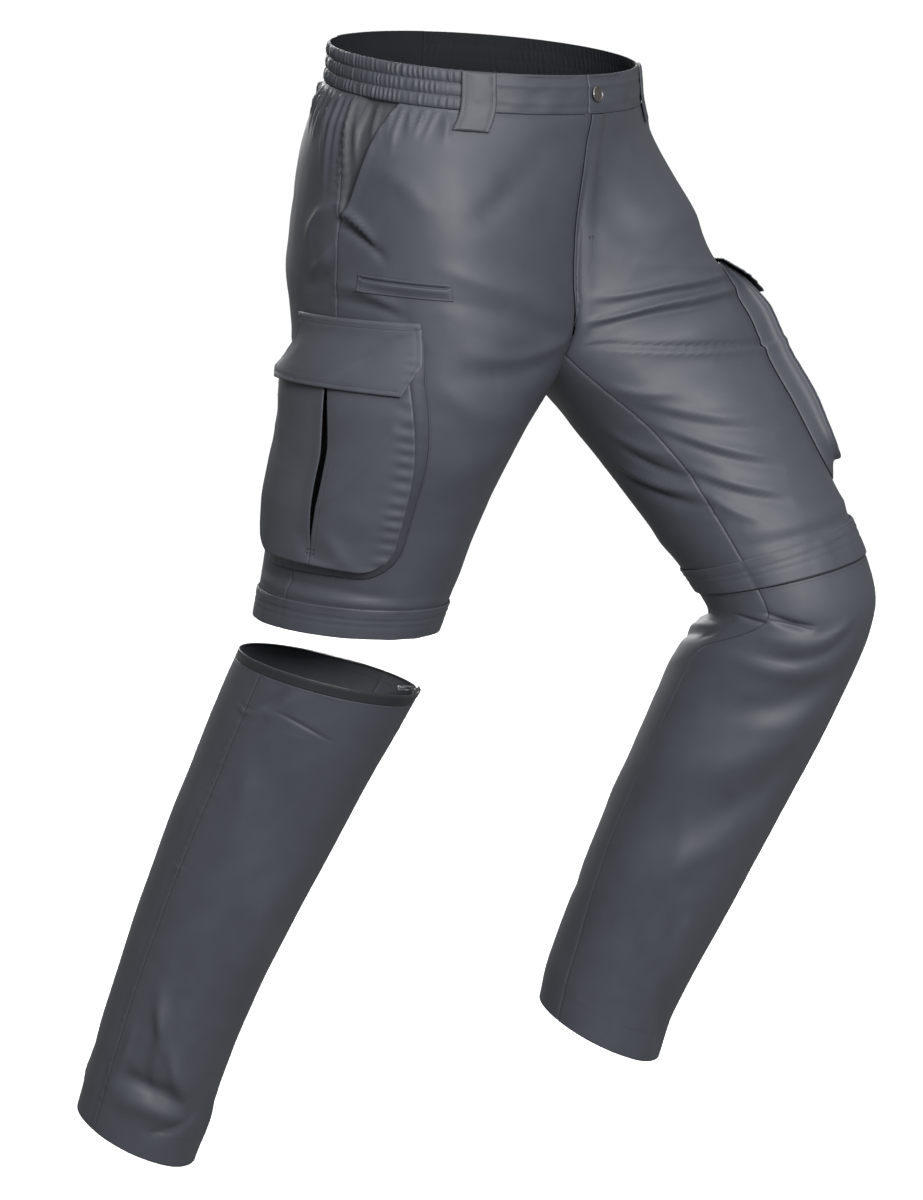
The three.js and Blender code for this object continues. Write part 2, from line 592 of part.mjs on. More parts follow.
// A line round the pocket, from the top of its back edge past the foot to the top of its front edge
function cargoOutline(share, inset) {
  const corner = CARGO_CORNER - inset / 2;
  const foot = CARGO.foot - inset;
  const side = foot - corner - CARGO.top;
  const bend = (Math.PI / 2) * corner;
  const width = CARGO.wide - 2 * inset;
  const across = width - 2 * corner;
  let along = share * (2 * side + 2 * bend + across);
  if (along <= side) return [inset, CARGO.top + along];
  along -= side;
  if (along <= bend) {
    const angle = along / corner;
    return [inset + corner * (1 - Math.cos(angle)), foot - corner * (1 - Math.sin(angle))];
  }
  along -= bend;
  if (along <= across) return [inset + corner + along, foot];
  along -= across;
  if (along <= bend) {
    const angle = along / corner;
    return [inset + width - corner * (1 - Math.sin(angle)), foot - corner * (1 - Math.cos(angle))];
  }
  along -= bend;
  return [inset + width, foot - corner - along];
}

// The gusset slopes from the face's edge out to the thigh and is pressed into a shallow fold
function cargoGusset(leg) {
  const place = (u, v, depth) => {
    const inset = CARGO_FACE_INSET * (1 - v) + 3 * Math.sin(Math.PI * v);
    const [forward, t] = cargoOutline(u, inset + WALL * depth);
    const top = cargoStand(forward, t) - 2 * SEAM_GAP - WALL * depth * 0.5;
    const lift = THREE.MathUtils.lerp(Math.max(top, SEAT + WALL * (1 - depth)), SEAT + SEAM_GAP, v);
    return onThigh(leg, forward, t, lift);
  };
  const us = [...steps(0, 0.36, 7), ...steps(0.39, 0.61, 5), ...steps(0.64, 1, 7)];
  addPiece(`cargo_gusset_${sideName(leg.side)}`, CLOTH, clothGeometry(us, steps(0, 1, 2), place));
}

function cargoFlap(leg) {
  const place = (u, v, depth) => {
    const t = CARGO_FLAP.top + (CARGO_FLAP.foot - CARGO_FLAP.top) * v;
    const cut = Math.max(t - (CARGO_FLAP.foot - CARGO_FLAP.chamferTall), 0);
    const inset = (cut * CARGO_FLAP.chamferWide) / CARGO_FLAP.chamferTall;
    const forward = inset + (CARGO.wide - 2 * inset) * u;
    const stand = cargoStand(forward, Math.max(t, CARGO.top));
    const seat = stand * smooth(CARGO_FLAP.top - 6, CARGO.top, t);
    return onThigh(leg, forward, t, seat + LAYER + SEAT + CARGO_FLAP.lift * v + WALL * (1 - depth));
  };
  const rows = [0, 0.1, 0.25, 0.42, 0.58, 0.8, 1];
  addPiece(`cargo_flap_${sideName(leg.side)}`, CLOTH, clothGeometry(steps(0, 1, 8), rows, place));
}

function cargoPocket(leg) {
  cargoPanel(`cargo_front_${sideName(leg.side)}`, leg, true, 6);
  cargoPanel(`cargo_side_${sideName(leg.side)}`, leg, false, 3);
  cargoGusset(leg);
  cargoFlap(leg);
}

// Metal shank button on the waistband
const BUTTON = { t: -BAND_HEIGHT / 2, angle: 0.5, radius: 7.5, rim: 1.2, dome: 2.6, shank: 3 };

// A solid turned about an axis that points out of the cloth at a place
function seatOn(mesh, point, outward) {
  mesh.quaternion.setFromUnitVectors(new THREE.Vector3(0, 1, 0), outward);
  mesh.position.copy(point);
}

function button() {
  const profile = [
    [0, 0],
    [BUTTON.shank, 0],
    [BUTTON.shank, 0.8],
    [BUTTON.radius - 0.6, 0.9],
    [BUTTON.radius, BUTTON.rim],
    [BUTTON.radius - 0.6, BUTTON.dome - 0.4],
    [BUTTON.radius - 2, BUTTON.dome - 0.2],
    [BUTTON.radius - 3, BUTTON.dome],
    [0, BUTTON.dome + 0.3],
  ].map(([x, y]) => new THREE.Vector2(x, y));
  const mesh = addPiece("button", BUTTON_METAL, new THREE.LatheGeometry(profile, 20));
  const seat = bandPoint(BUTTON.t, degrees(BUTTON.angle), BAND.out + SEAM_GAP);
  const above = bandPoint(BUTTON.t, degrees(BUTTON.angle), BAND.out + SEAM_GAP + 1);
  seatOn(mesh, seat, above.sub(seat));
}

// Zip slider on the detached leg's top edge: it grips the tape, and a bridge holds the pull tab's eye
const TAPE_COLUMNS = 20;
const SLIDER = { from: 2 / TAPE_COLUMNS, to: 3 / TAPE_COLUMNS, long: 10, tall: 8.5, thick: 5, slot: 2.4, slotDeep: 5.2 };
const BRIDGE = { long: 6.4, high: 5.4, bar: 1.2, wide: 1.4 };
const PULL = { long: 15, wide: 4.2, thick: 1.2, eye: 5.4, rail: 0.9, end: 1.0, droop: 25, out: 2.1, raise: 0.9 };

const wasm = await Module();
wasm.setup();

function joined(first, second) {
  const solidOf = (geometry) => {
    const bare = geometry.clone();
    bare.deleteAttribute("normal");
    bare.deleteAttribute("uv");
    const merged = mergeVertices(bare, 1e-4);
    const vertProperties = merged.attributes.position.array;
    const triVerts = new Uint32Array(merged.index.array);
    return new wasm.Manifold(new wasm.Mesh({ numProp: 3, vertProperties, triVerts }));
  };
  const mesh = solidOf(first).add(solidOf(second)).getMesh();
  const geometry = new THREE.BufferGeometry();
  geometry.setAttribute("position", new THREE.Float32BufferAttribute(mesh.vertProperties, 3));
  geometry.setIndex([...mesh.triVerts]);
  geometry.computeVertexNormals();
  return geometry;
}

function shapeOf(points) {
  return new THREE.Shape(points.map(([x, y]) => new THREE.Vector2(x, y)));
}

// The slider's own axes: X along the tape, Y up the leg, Z out of the cloth. It sits on the tape's edge,
// in the middle of one of the tape's flat facets.
function sliderFrame() {
  const corner = (t, a) => surface(LOWER_RIGHT, t, a, -WALL / 2);
  const end = LOWER_TOP - SEAM_GAP;
  const point = corner(TAPE_TOP, SLIDER.from).lerp(corner(TAPE_TOP, SLIDER.to), 0.5);
  const below = corner(end, SLIDER.from).lerp(corner(end, SLIDER.to), 0.5);
  const along = corner(TAPE_TOP, SLIDER.to).sub(corner(TAPE_TOP, SLIDER.from)).normalize();
  const outward = along.clone().cross(point.clone().sub(below)).normalize();
  const up = outward.clone().cross(along);
  return new THREE.Matrix4().makeBasis(along, up, outward).setPosition(point);
}

function slider(frame) {
  const half = SLIDER.thick / 2;
  const slot = SLIDER.slot / 2;
  const crown = SLIDER.tall - SLIDER.slotDeep;
  // Seen along the tape: a hook over the tape's edge, open at the bottom
  const hook = shapeOf([
    [-half, -SLIDER.slotDeep],
    [-slot, -SLIDER.slotDeep],
    [-slot, SEAM_GAP],
    [slot, SEAM_GAP],
    [slot, -SLIDER.slotDeep],
    [half, -SLIDER.slotDeep],
    [half, crown - 1],
    [half - 1, crown],
    [-half + 1, crown],
    [-half, crown - 1],
  ]);
  const body = new THREE.ExtrudeGeometry(hook, { depth: SLIDER.long, bevelEnabled: false });
  body.translate(0, 0, -SLIDER.long / 2).rotateY(Math.PI / 2);
  const arch = shapeOf([
    [-BRIDGE.long / 2, -0.6],
    [BRIDGE.long / 2, -0.6],
    [BRIDGE.long / 2, BRIDGE.high - 1],
    [BRIDGE.long / 2 - 1, BRIDGE.high],
    [1 - BRIDGE.long / 2, BRIDGE.high],
    [-BRIDGE.long / 2, BRIDGE.high - 1],
  ]);
  const inside = BRIDGE.long / 2 - BRIDGE.bar;
  const eye = new THREE.Path(
    [
      [-inside, 0.2],
      [-inside, BRIDGE.high - BRIDGE.bar],
      [inside, BRIDGE.high - BRIDGE.bar],
      [inside, 0.2],
    ].map(([x, y]) => new THREE.Vector2(x, y)),
  );
  arch.holes.push(eye);
  const hoop = new THREE.ExtrudeGeometry(arch, { depth: BRIDGE.wide, bevelEnabled: false });
  hoop.translate(0, 0, -BRIDGE.wide / 2).rotateX(Math.PI / 2).translate(0, -1, half);
  const mesh = addPiece("zip_slider", SLIDER_METAL, joined(body, hoop));
  mesh.applyMatrix4(frame);
}

// The pull tab hangs from the bridge by its eye, drooping a little
function pullTab(frame) {
  const outline = shapeOf([
    [-PULL.wide / 2, -PULL.end / 2],
    [PULL.wide / 2, -PULL.end / 2],
    [PULL.wide / 2, PULL.long - 1.5],
    [PULL.wide / 2 - 1, PULL.long - 0.5],
    [1 - PULL.wide / 2, PULL.long - 0.5],
    [-PULL.wide / 2, PULL.long - 1.5],
  ]);
  const inside = PULL.wide / 2 - PULL.rail;
  const eye = [
    [-inside, PULL.end / 2],
    [-inside, PULL.end / 2 + PULL.eye],
    [inside, PULL.end / 2 + PULL.eye],
    [inside, PULL.end / 2],
  ];
  outline.holes.push(new THREE.Path(eye.map(([x, y]) => new THREE.Vector2(x, y))));
  const geometry = new THREE.ExtrudeGeometry(outline, { depth: PULL.thick, bevelEnabled: false });
  geometry.translate(0, 0, -PULL.thick / 2);
  const mesh = addPiece("pull_tab", PULL_METAL, geometry);
  // The tab's own Y points out and its X down the leg
  const tab = new THREE.Matrix4().makeBasis(
    new THREE.Vector3(0, -1, 0),
    new THREE.Vector3(0, 0, 1),
    new THREE.Vector3(-1, 0, 0),
  );
  const droop = new THREE.Matrix4().makeRotationX(degrees(PULL.droop));
  const place = new THREE.Matrix4().makeTranslation(0, PULL.raise - 1, SLIDER.thick / 2 + PULL.out);
  mesh.applyMatrix4(frame.clone().multiply(place).multiply(droop).multiply(tab));
}

waistband();
for (const leg of [UPPER_RIGHT, WHOLE_LEFT]) {
  const name = sideName(leg.side);
  upperFront(leg);
  upperBack(leg);
  pocketFacing(leg);
  cargoPocket(leg);
  legBand(`zip_flap_${name}`, CLOTH, leg, FLAP_TOP, FLAP_END, FLAP_SEAT + WALL, 2, 20);
  beltLoop(`belt_loop_front_${name}`, leg.side * degrees(BAND.elasticFrom), LOOP.wide);
  beltLoop(`belt_loop_back_${name}`, leg.side * degrees(BAND.elasticTo), LOOP.wide);
}
for (const leg of [LOWER_RIGHT, WHOLE_LEFT]) {
  lowerPanel(leg, "front");
  lowerPanel(leg, "back");
}
legBand("zip_tape_upper_right", TAPE_CLOTH, UPPER_RIGHT, PANEL_END + SEAM_GAP, FLAP_END - 2, 0, 1, TAPE_COLUMNS);
legBand("zip_tape_lower_right", TAPE_CLOTH, LOWER_RIGHT, TAPE_TOP, LOWER_TOP - SEAM_GAP, 0, 1, TAPE_COLUMNS);
legBand("zip_tape_left", TAPE_CLOTH, WHOLE_LEFT, PANEL_END + SEAM_GAP, LOWER_TOP - SEAM_GAP, 0, 1, TAPE_COLUMNS);
weltPocket();
button();
const zipFrame = sliderFrame();
slider(zipFrame);
pullTab(zipFrame);

export default trousers;
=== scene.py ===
"""Convertible zip-off trousers in their worn, striding shape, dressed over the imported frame.

The left leg is zipped on and bent at the knee. The right leg is unzipped and hangs below its short leg.
Sizes are in millimetres on the cloth and turned into metres where a mesh is made. t is the distance down
the side seam from the waistband's lower edge, and a is the share of the way round a half of the garment:
0 at the centre front or inseam, 0.5 at the side seam, 1 at the centre back or inseam again.
"""
import json
import math

import bpy
import numpy as np
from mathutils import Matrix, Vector


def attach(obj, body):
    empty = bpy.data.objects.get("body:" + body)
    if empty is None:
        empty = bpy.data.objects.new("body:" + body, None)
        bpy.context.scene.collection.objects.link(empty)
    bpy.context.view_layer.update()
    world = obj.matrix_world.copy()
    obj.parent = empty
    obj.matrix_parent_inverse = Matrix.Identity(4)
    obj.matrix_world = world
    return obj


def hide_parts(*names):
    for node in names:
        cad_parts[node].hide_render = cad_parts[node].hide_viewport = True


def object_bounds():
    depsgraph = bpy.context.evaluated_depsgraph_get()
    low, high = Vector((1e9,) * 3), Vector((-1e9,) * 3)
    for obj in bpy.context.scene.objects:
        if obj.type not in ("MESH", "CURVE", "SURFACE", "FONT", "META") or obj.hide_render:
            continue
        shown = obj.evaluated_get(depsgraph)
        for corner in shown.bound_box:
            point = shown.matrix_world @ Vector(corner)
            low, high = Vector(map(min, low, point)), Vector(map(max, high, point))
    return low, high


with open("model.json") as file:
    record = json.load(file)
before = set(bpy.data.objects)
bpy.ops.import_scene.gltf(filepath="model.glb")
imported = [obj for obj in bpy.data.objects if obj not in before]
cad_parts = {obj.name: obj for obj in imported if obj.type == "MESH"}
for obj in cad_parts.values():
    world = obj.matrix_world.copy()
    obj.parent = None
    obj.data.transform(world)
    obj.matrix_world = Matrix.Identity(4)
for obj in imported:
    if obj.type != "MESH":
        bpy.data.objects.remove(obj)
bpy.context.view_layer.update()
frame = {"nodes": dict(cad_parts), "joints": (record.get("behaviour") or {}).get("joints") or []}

RIGHT, LEFT = -1, 1
MM = 0.001

# Cloth and seams
WALL = 1.3
SEAM_GAP = 0.3
LAYER = WALL + SEAM_GAP
SEAT = 1.1
FLAP_SEAT = 0.9
SEWN_SEAT = SEAT - 0.9
GRID, LOWER_GRID = 3.45, 4.5

# Distances down the side seam
BAND_HEIGHT = 35.0
CROTCH = 262.0
PANEL_END = 503.0
FLAP_TOP, FLAP_END = 485.0, 515.0
TAPE_TOP, LOWER_TOP = 506.5, 516.3
HEM, HEM_TALL = 1015.0, 30.0

# Places round the body
SIDE_SEAM = 0.5
SEAM_ANGLE = math.radians(95)
GIRTH = 630.0
STRIDE = np.array([0.55, -0.835])
ACROSS = np.array([0.835, 0.55])
LEG_BEGINS, HIP, RISE_BEGINS = 10.0, 131.0, 120.0
CROTCH_REACH, CROTCH_SPREAD, CROTCH_FADED = 90.0, 0.16, 439.0

# The fly's overlap, and where it ends
FLY_OVERLAP, FLY_END, FLY_FADE, FLY_STAND = 7.0, 172.0, 45.0, 1.6
FLY_ROW = {"wide": 22.0, "straight": 138.0, "curve": 32.0}


def table(names, *rows):
    """A table of numbers with named columns."""
    return dict(zip(names.split(), np.array(rows, float).T))


# Body sections: height of the middle, forward tilt, half width, depths, squareness of the front
BODY = table(
    "t z tilt half front back square",
    (-35, 17.5, 7.5, 160, 128, 128, 2.0),
    (0, -17.5, 7.5, 165, 130, 132, 2.0),
    (30, -48, 7.0, 180, 124, 146, 2.2),
    (81, -100, 6.0, 188, 119, 160, 2.8),
    (136, -155, 4.0, 190, 119, 170, 3.0),
    (192, -211, 2.0, 190, 119, 172, 3.0),
    (262, -281, 0.0, 188, 112, 160, 3.0),
)

# Leg sections: centre, slopes along and across the stride, turn, the side seam's angle, four radii
LEG_COLUMNS = "t x y z rise lean turn side front back outer inner"
RIGHT_LEG = table(
    LEG_COLUMNS,
    (0, -88, 0, -19, 0, 0, 0, 185, 130, 132, 80, 88),
    (131, -92, 0, -148, 0, 0, 0, 185, 128, 140, 98, 92),
    (262, -95, 2, -268, -0.03, 0, 0, 185, 118, 122, 98, 95),
    (325, -99, 14, -329, -0.05, 0, 0, 185, 111, 112, 96, 94),
    (382, -103, 36, -383, -0.06, 0, 0, 185, 103, 103, 93, 93),
    (439, -107, 54, -436, -0.07, 0, 0, 185, 96, 95, 88, 90),
    (515, -112, 74, -507, -0.08, 0, 0, 185, 87, 86, 84, 84),
)
RIGHT_LOWER_LEG = table(
    LEG_COLUMNS,
    (506, -118, 89, -554, -0.24, -0.05, 0, 185, 88, 88, 87, 84),
    (604, -132, 132, -641, -0.38, 0, 0, 185, 80, 82, 80, 79),
    (732, -151, 184, -755, -0.43, 0, 0, 185, 74, 76, 74, 73),
    (862, -169, 233, -875, -0.46, 0, 0, 185, 66, 68, 67, 66),
    (1015, -187, 282, -1023, -0.49, 0, 0, 185, 62, 64, 62, 61),
)
LEFT_LEG = table(
    LEG_COLUMNS,
    (0, 88, 0, -19, 0, 0, 0, 185, 130, 132, 80, 88),
    (131, 101, -40, -148, 0.10, 0, 6, 180, 128, 150, 92, 95),
    (262, 120, -84, -245, 0.38, 0, 14, 165, 103, 108, 98, 98),
    (400, 148, -161, -363, 0.46, 0, 20, 155, 88, 90, 90, 88),
    (515, 170, -220, -464, 0.23, 0, 20, 155, 80, 80, 84, 82),
    (552, 174, -230, -500, 0.04, 0, 20, 156, 79, 79, 82, 80),
    (614, 165, -205, -556, -0.26, 0, 19, 160, 80, 82, 80, 78),
    (790, 139, -135, -714, -0.44, 0, 17, 165, 75, 77, 75, 73),
    (965, 115, -66, -873, -0.46, 0, 15, 165, 67, 66, 68, 65),
    (1015, 111, -52, -920, -0.50, 0, 15, 165, 66, 64, 66, 63),
)


class Leg:
    """A stretch of the garment that hangs together; hip is how much of the leg's form its hip takes."""

    def __init__(self, name, side, rows, hip):
        self.name, self.side, self.rows, self.hip = name, side, rows, hip


UPPER_RIGHT = Leg("upper_right", RIGHT, RIGHT_LEG, 0.4)
LOWER_RIGHT = Leg("lower_right", RIGHT, RIGHT_LOWER_LEG, 1.0)
WHOLE_LEFT = Leg("left", LEFT, LEFT_LEG, 0.75)

# Above the crotch, where each leg's panels end on its ring, and below it, where its inseam lies
PANEL_ENDS = table(
    "t right_front right_back left_front left_back",
    (0, 70, 275, 60, 275),
    (131, 57, 272, 26, 275),
    (220, 56, 290, 8, 272),
    (240, 56, 318, 2, 280),
    (252, 55, 356, -4, 307),
    (262, 54, 414, -8, 352),
)
INSEAMS = table("t right left", (262, 54, -8), (325, 26, -3), (382, 8, 0), (439, 0, 0))

# The seam between the legs: the front rise and the back rise meet at the crotch
RISE = table(
    "t front_y front_z back_y back_z",
    (0, -130, -35, 132, 0),
    (81, -113, -112, 160, -83),
    (150, -108, -174, 171, -158),
    (192, -108, -211, 162, -206),
    (220, -106, -232, 136, -246),
    (240, -102, -245, 84, -276),
    (252, -99, -251, 10, -290),
    (262, -96, -256, -96, -256),
)


def smooth(low, high, value):
    share = np.clip((value - low) / (high - low), 0, 1)
    return share * share * (3 - 2 * share)


def lerp(low, high, share):
    return low + (high - low) * share


def bell(distance, wide):
    return np.exp(-((distance / wide) ** 2))


def unit(vectors):
    return vectors / np.linalg.norm(vectors, axis=-1, keepdims=True)


def vector(x, y, z):
    return np.stack(np.broadcast_arrays(x, y, z), axis=-1).astype(float)


def alike(*values):
    """The values as arrays of numbers of one shape."""
    return np.broadcast_arrays(*[np.asarray(value, float) for value in values])


def columns_at(rows, t, names):
    """Named columns of a table at any distance: a smooth curve through each."""
    ts = rows["t"]
    last = len(ts) - 1
    k = np.searchsorted(ts[1:last], t, side="left")
    before, to, after = np.maximum(k - 1, 0), k + 1, np.minimum(k + 2, last)
    span = ts[to] - ts[k]
    s = (t - ts[k]) / span
    found = []
    for name in names.split():
        column = rows[name]
        slope_from = (column[to] - column[before]) / (ts[to] - ts[before])
        slope_to = (column[after] - column[k]) / (ts[after] - ts[k])
        found.append(
            (2 * s**3 - 3 * s**2 + 1) * column[k]
            + (s**3 - 2 * s**2 + s) * span * slope_from
            + (3 * s**2 - 2 * s**3) * column[to]
            + (s**3 - s**2) * span * slope_to
        )
    return found


def body_point(t, angle):
    """A point of the body at an angle from the centre front, positive towards the wearer's left."""
    z, tilt, half, front, back, square = columns_at(BODY, t, "z tilt half front back square")
    across, forward = np.sin(angle), np.cos(angle)
    power = np.where(forward > 0, square, 2.0)
    depth = np.where(forward > 0, front, back)
    reach = (np.abs(across) ** power + np.abs(forward) ** power) ** (-1 / power)
    y = -depth * forward * reach
    return vector(half * across * reach, y, z + y * np.tan(np.radians(tilt)))


def body_angle(a):
    ahead = a / SIDE_SEAM * SEAM_ANGLE
    behind = SEAM_ANGLE + (a - SIDE_SEAM) / (1 - SIDE_SEAM) * (math.pi - SEAM_ANGLE)
    return np.where(a < SIDE_SEAM, ahead, behind)


def ring_ends(side, t):
    """Where a leg's ring starts and ends: apart above the crotch, at the inseam below it."""
    name = "right" if side == RIGHT else "left"
    (inseam,) = columns_at(INSEAMS, np.clip(t, CROTCH, CROTCH_FADED), name)
    front, back = columns_at(PANEL_ENDS, np.minimum(t, CROTCH), f"{name}_front {name}_back")
    start = np.where(t >= CROTCH, inseam, front)
    return np.radians(start), np.radians(np.where(t >= CROTCH, inseam + 360, back))


def ring_point(leg, t, a):
    """A point of a leg's ring: it starts at the inseam and passes the front, the side seam and the back."""
    x, y, z, rise, lean, turn, side = columns_at(leg.rows, t, "x y z rise lean turn side")
    front, back, outer, inner = columns_at(leg.rows, t, "front back outer inner")
    slope_x = STRIDE[0] * rise + ACROSS[0] * lean
    slope_y = STRIDE[1] * rise + ACROSS[1] * lean
    turned = np.radians(turn) * leg.side
    ahead_x, ahead_y = np.sin(turned), -np.cos(turned)
    forward = unit(vector(ahead_x, ahead_y, slope_x * ahead_x + slope_y * ahead_y))
    up = unit(vector(-slope_x, -slope_y, 1.0))
    outward = np.cross(up, forward) * leg.side
    start, end = ring_ends(leg.side, t)
    outside = np.radians(side)
    first = lerp(start, outside, a / SIDE_SEAM)
    second = lerp(outside, end, (a - SIDE_SEAM) / (1 - SIDE_SEAM))
    angle = np.where(a < SIDE_SEAM, first, second)
    inward, ahead = np.cos(angle), np.sin(angle)
    out = -inward * np.where(inward > 0, inner, outer)
    on = ahead * np.where(ahead > 0, front, back)
    return vector(x, y, z) + outward * out[..., None] + forward * on[..., None]


def blended_point(leg, t, a):
    """The body's section turns into the leg's ring between the hip and the crotch."""
    t, a = alike(t, a)
    ring = ring_point(leg, t, a)
    share = leg.hip * smooth(LEG_BEGINS, HIP, t) + (1 - leg.hip) * smooth(HIP, CROTCH, t)
    share = np.where(t >= CROTCH, 1.0, share)[..., None]
    return lerp(body_point(np.minimum(t, CROTCH), leg.side * body_angle(a)), ring, share)


def centre_seam(leg, t, end):
    """Where the centre seam runs: in front for end 0, behind for end 1."""
    on_body = body_point(t, leg.side * body_angle(np.full_like(t, end)))
    y, z = columns_at(RISE, t, "front_y front_z" if end == 0 else "back_y back_z")
    return lerp(on_body, vector(0.0, y, z), smooth(LEG_BEGINS, RISE_BEGINS, t)[..., None])


def clear_of_middle(leg, t, points):
    x = leg.side * np.maximum(leg.side * points[..., 0], SEAM_GAP / 4)
    points[..., 0] = np.where(t < CROTCH + CROTCH_REACH, x, points[..., 0])
    return points


def base_point(leg, t, a):
    """The garment's surface without its folds."""
    t, a = alike(t, a)
    points = blended_point(leg, t, a)
    fade = 1 - smooth(CROTCH, CROTCH + CROTCH_REACH, t)
    if not fade.any():
        return points
    top = np.minimum(t, CROTCH)
    for end in (0, 1):
        near = np.abs(a - end) / CROTCH_SPREAD
        pull = centre_seam(leg, top, end) - blended_point(leg, top, np.full_like(a, end))
        points = points + pull * (fade * (1 - smooth(0, 1, near)))[..., None]
    return clear_of_middle(leg, t, points)


def outward_normal(leg, t, a):
    """The way out of the cloth; below the crotch the two sides of the inseam share it."""
    closed = t >= CROTCH
    low, high = a - 0.004, a + 0.004
    after = np.where(closed & (high > 1), high - 1, np.minimum(high, 1))
    before = np.where(closed & (low < 0), low + 1, np.maximum(low, 0))
    around = base_point(leg, t, after) - base_point(leg, t, before)
    above = np.where(closed, np.maximum(t - 2, CROTCH), t - 2)
    down = base_point(leg, t + 2, a) - base_point(leg, above, a)
    return unit(np.cross(down, around) * leg.side)


# How strongly the listed creases show
CREASE_DEPTH = 1.75
CREST = 1.5

LATTICE = np.random.default_rng(41).uniform(-1, 1, (24, 96, 96))


def noise(layer, u, v, round_cells=96):
    """Smooth random height from -1 to 1; it repeats after round_cells along u."""
    iu, iv = np.floor(u).astype(int), np.floor(v).astype(int)
    fu, fv = u - iu, v - iv
    fu = fu * fu * fu * (fu * (6 * fu - 15) + 10)
    fv = fv * fv * fv * (fv * (6 * fv - 15) + 10)
    grid = LATTICE[layer]
    u0, u1, v0, v1 = iu % round_cells, (iu + 1) % round_cells, iv % 96, (iv + 1) % 96
    return lerp(lerp(grid[u0, v0], grid[u1, v0], fu), lerp(grid[u0, v1], grid[u1, v1], fu), fv)


# Folds that the source has too: start, end, half width and height of each
FOLDS = {
    "left": [(235, 0.06, 268, 0.30, 20, -5), (262, 0.10, 300, 0.38, 20, 4), (290, 0.04, 345, 0.33, 20, -4)],
    "upper_right": [(225, 0.05, 262, 0.25, 20, -3)],
    "lower_right": [],
}
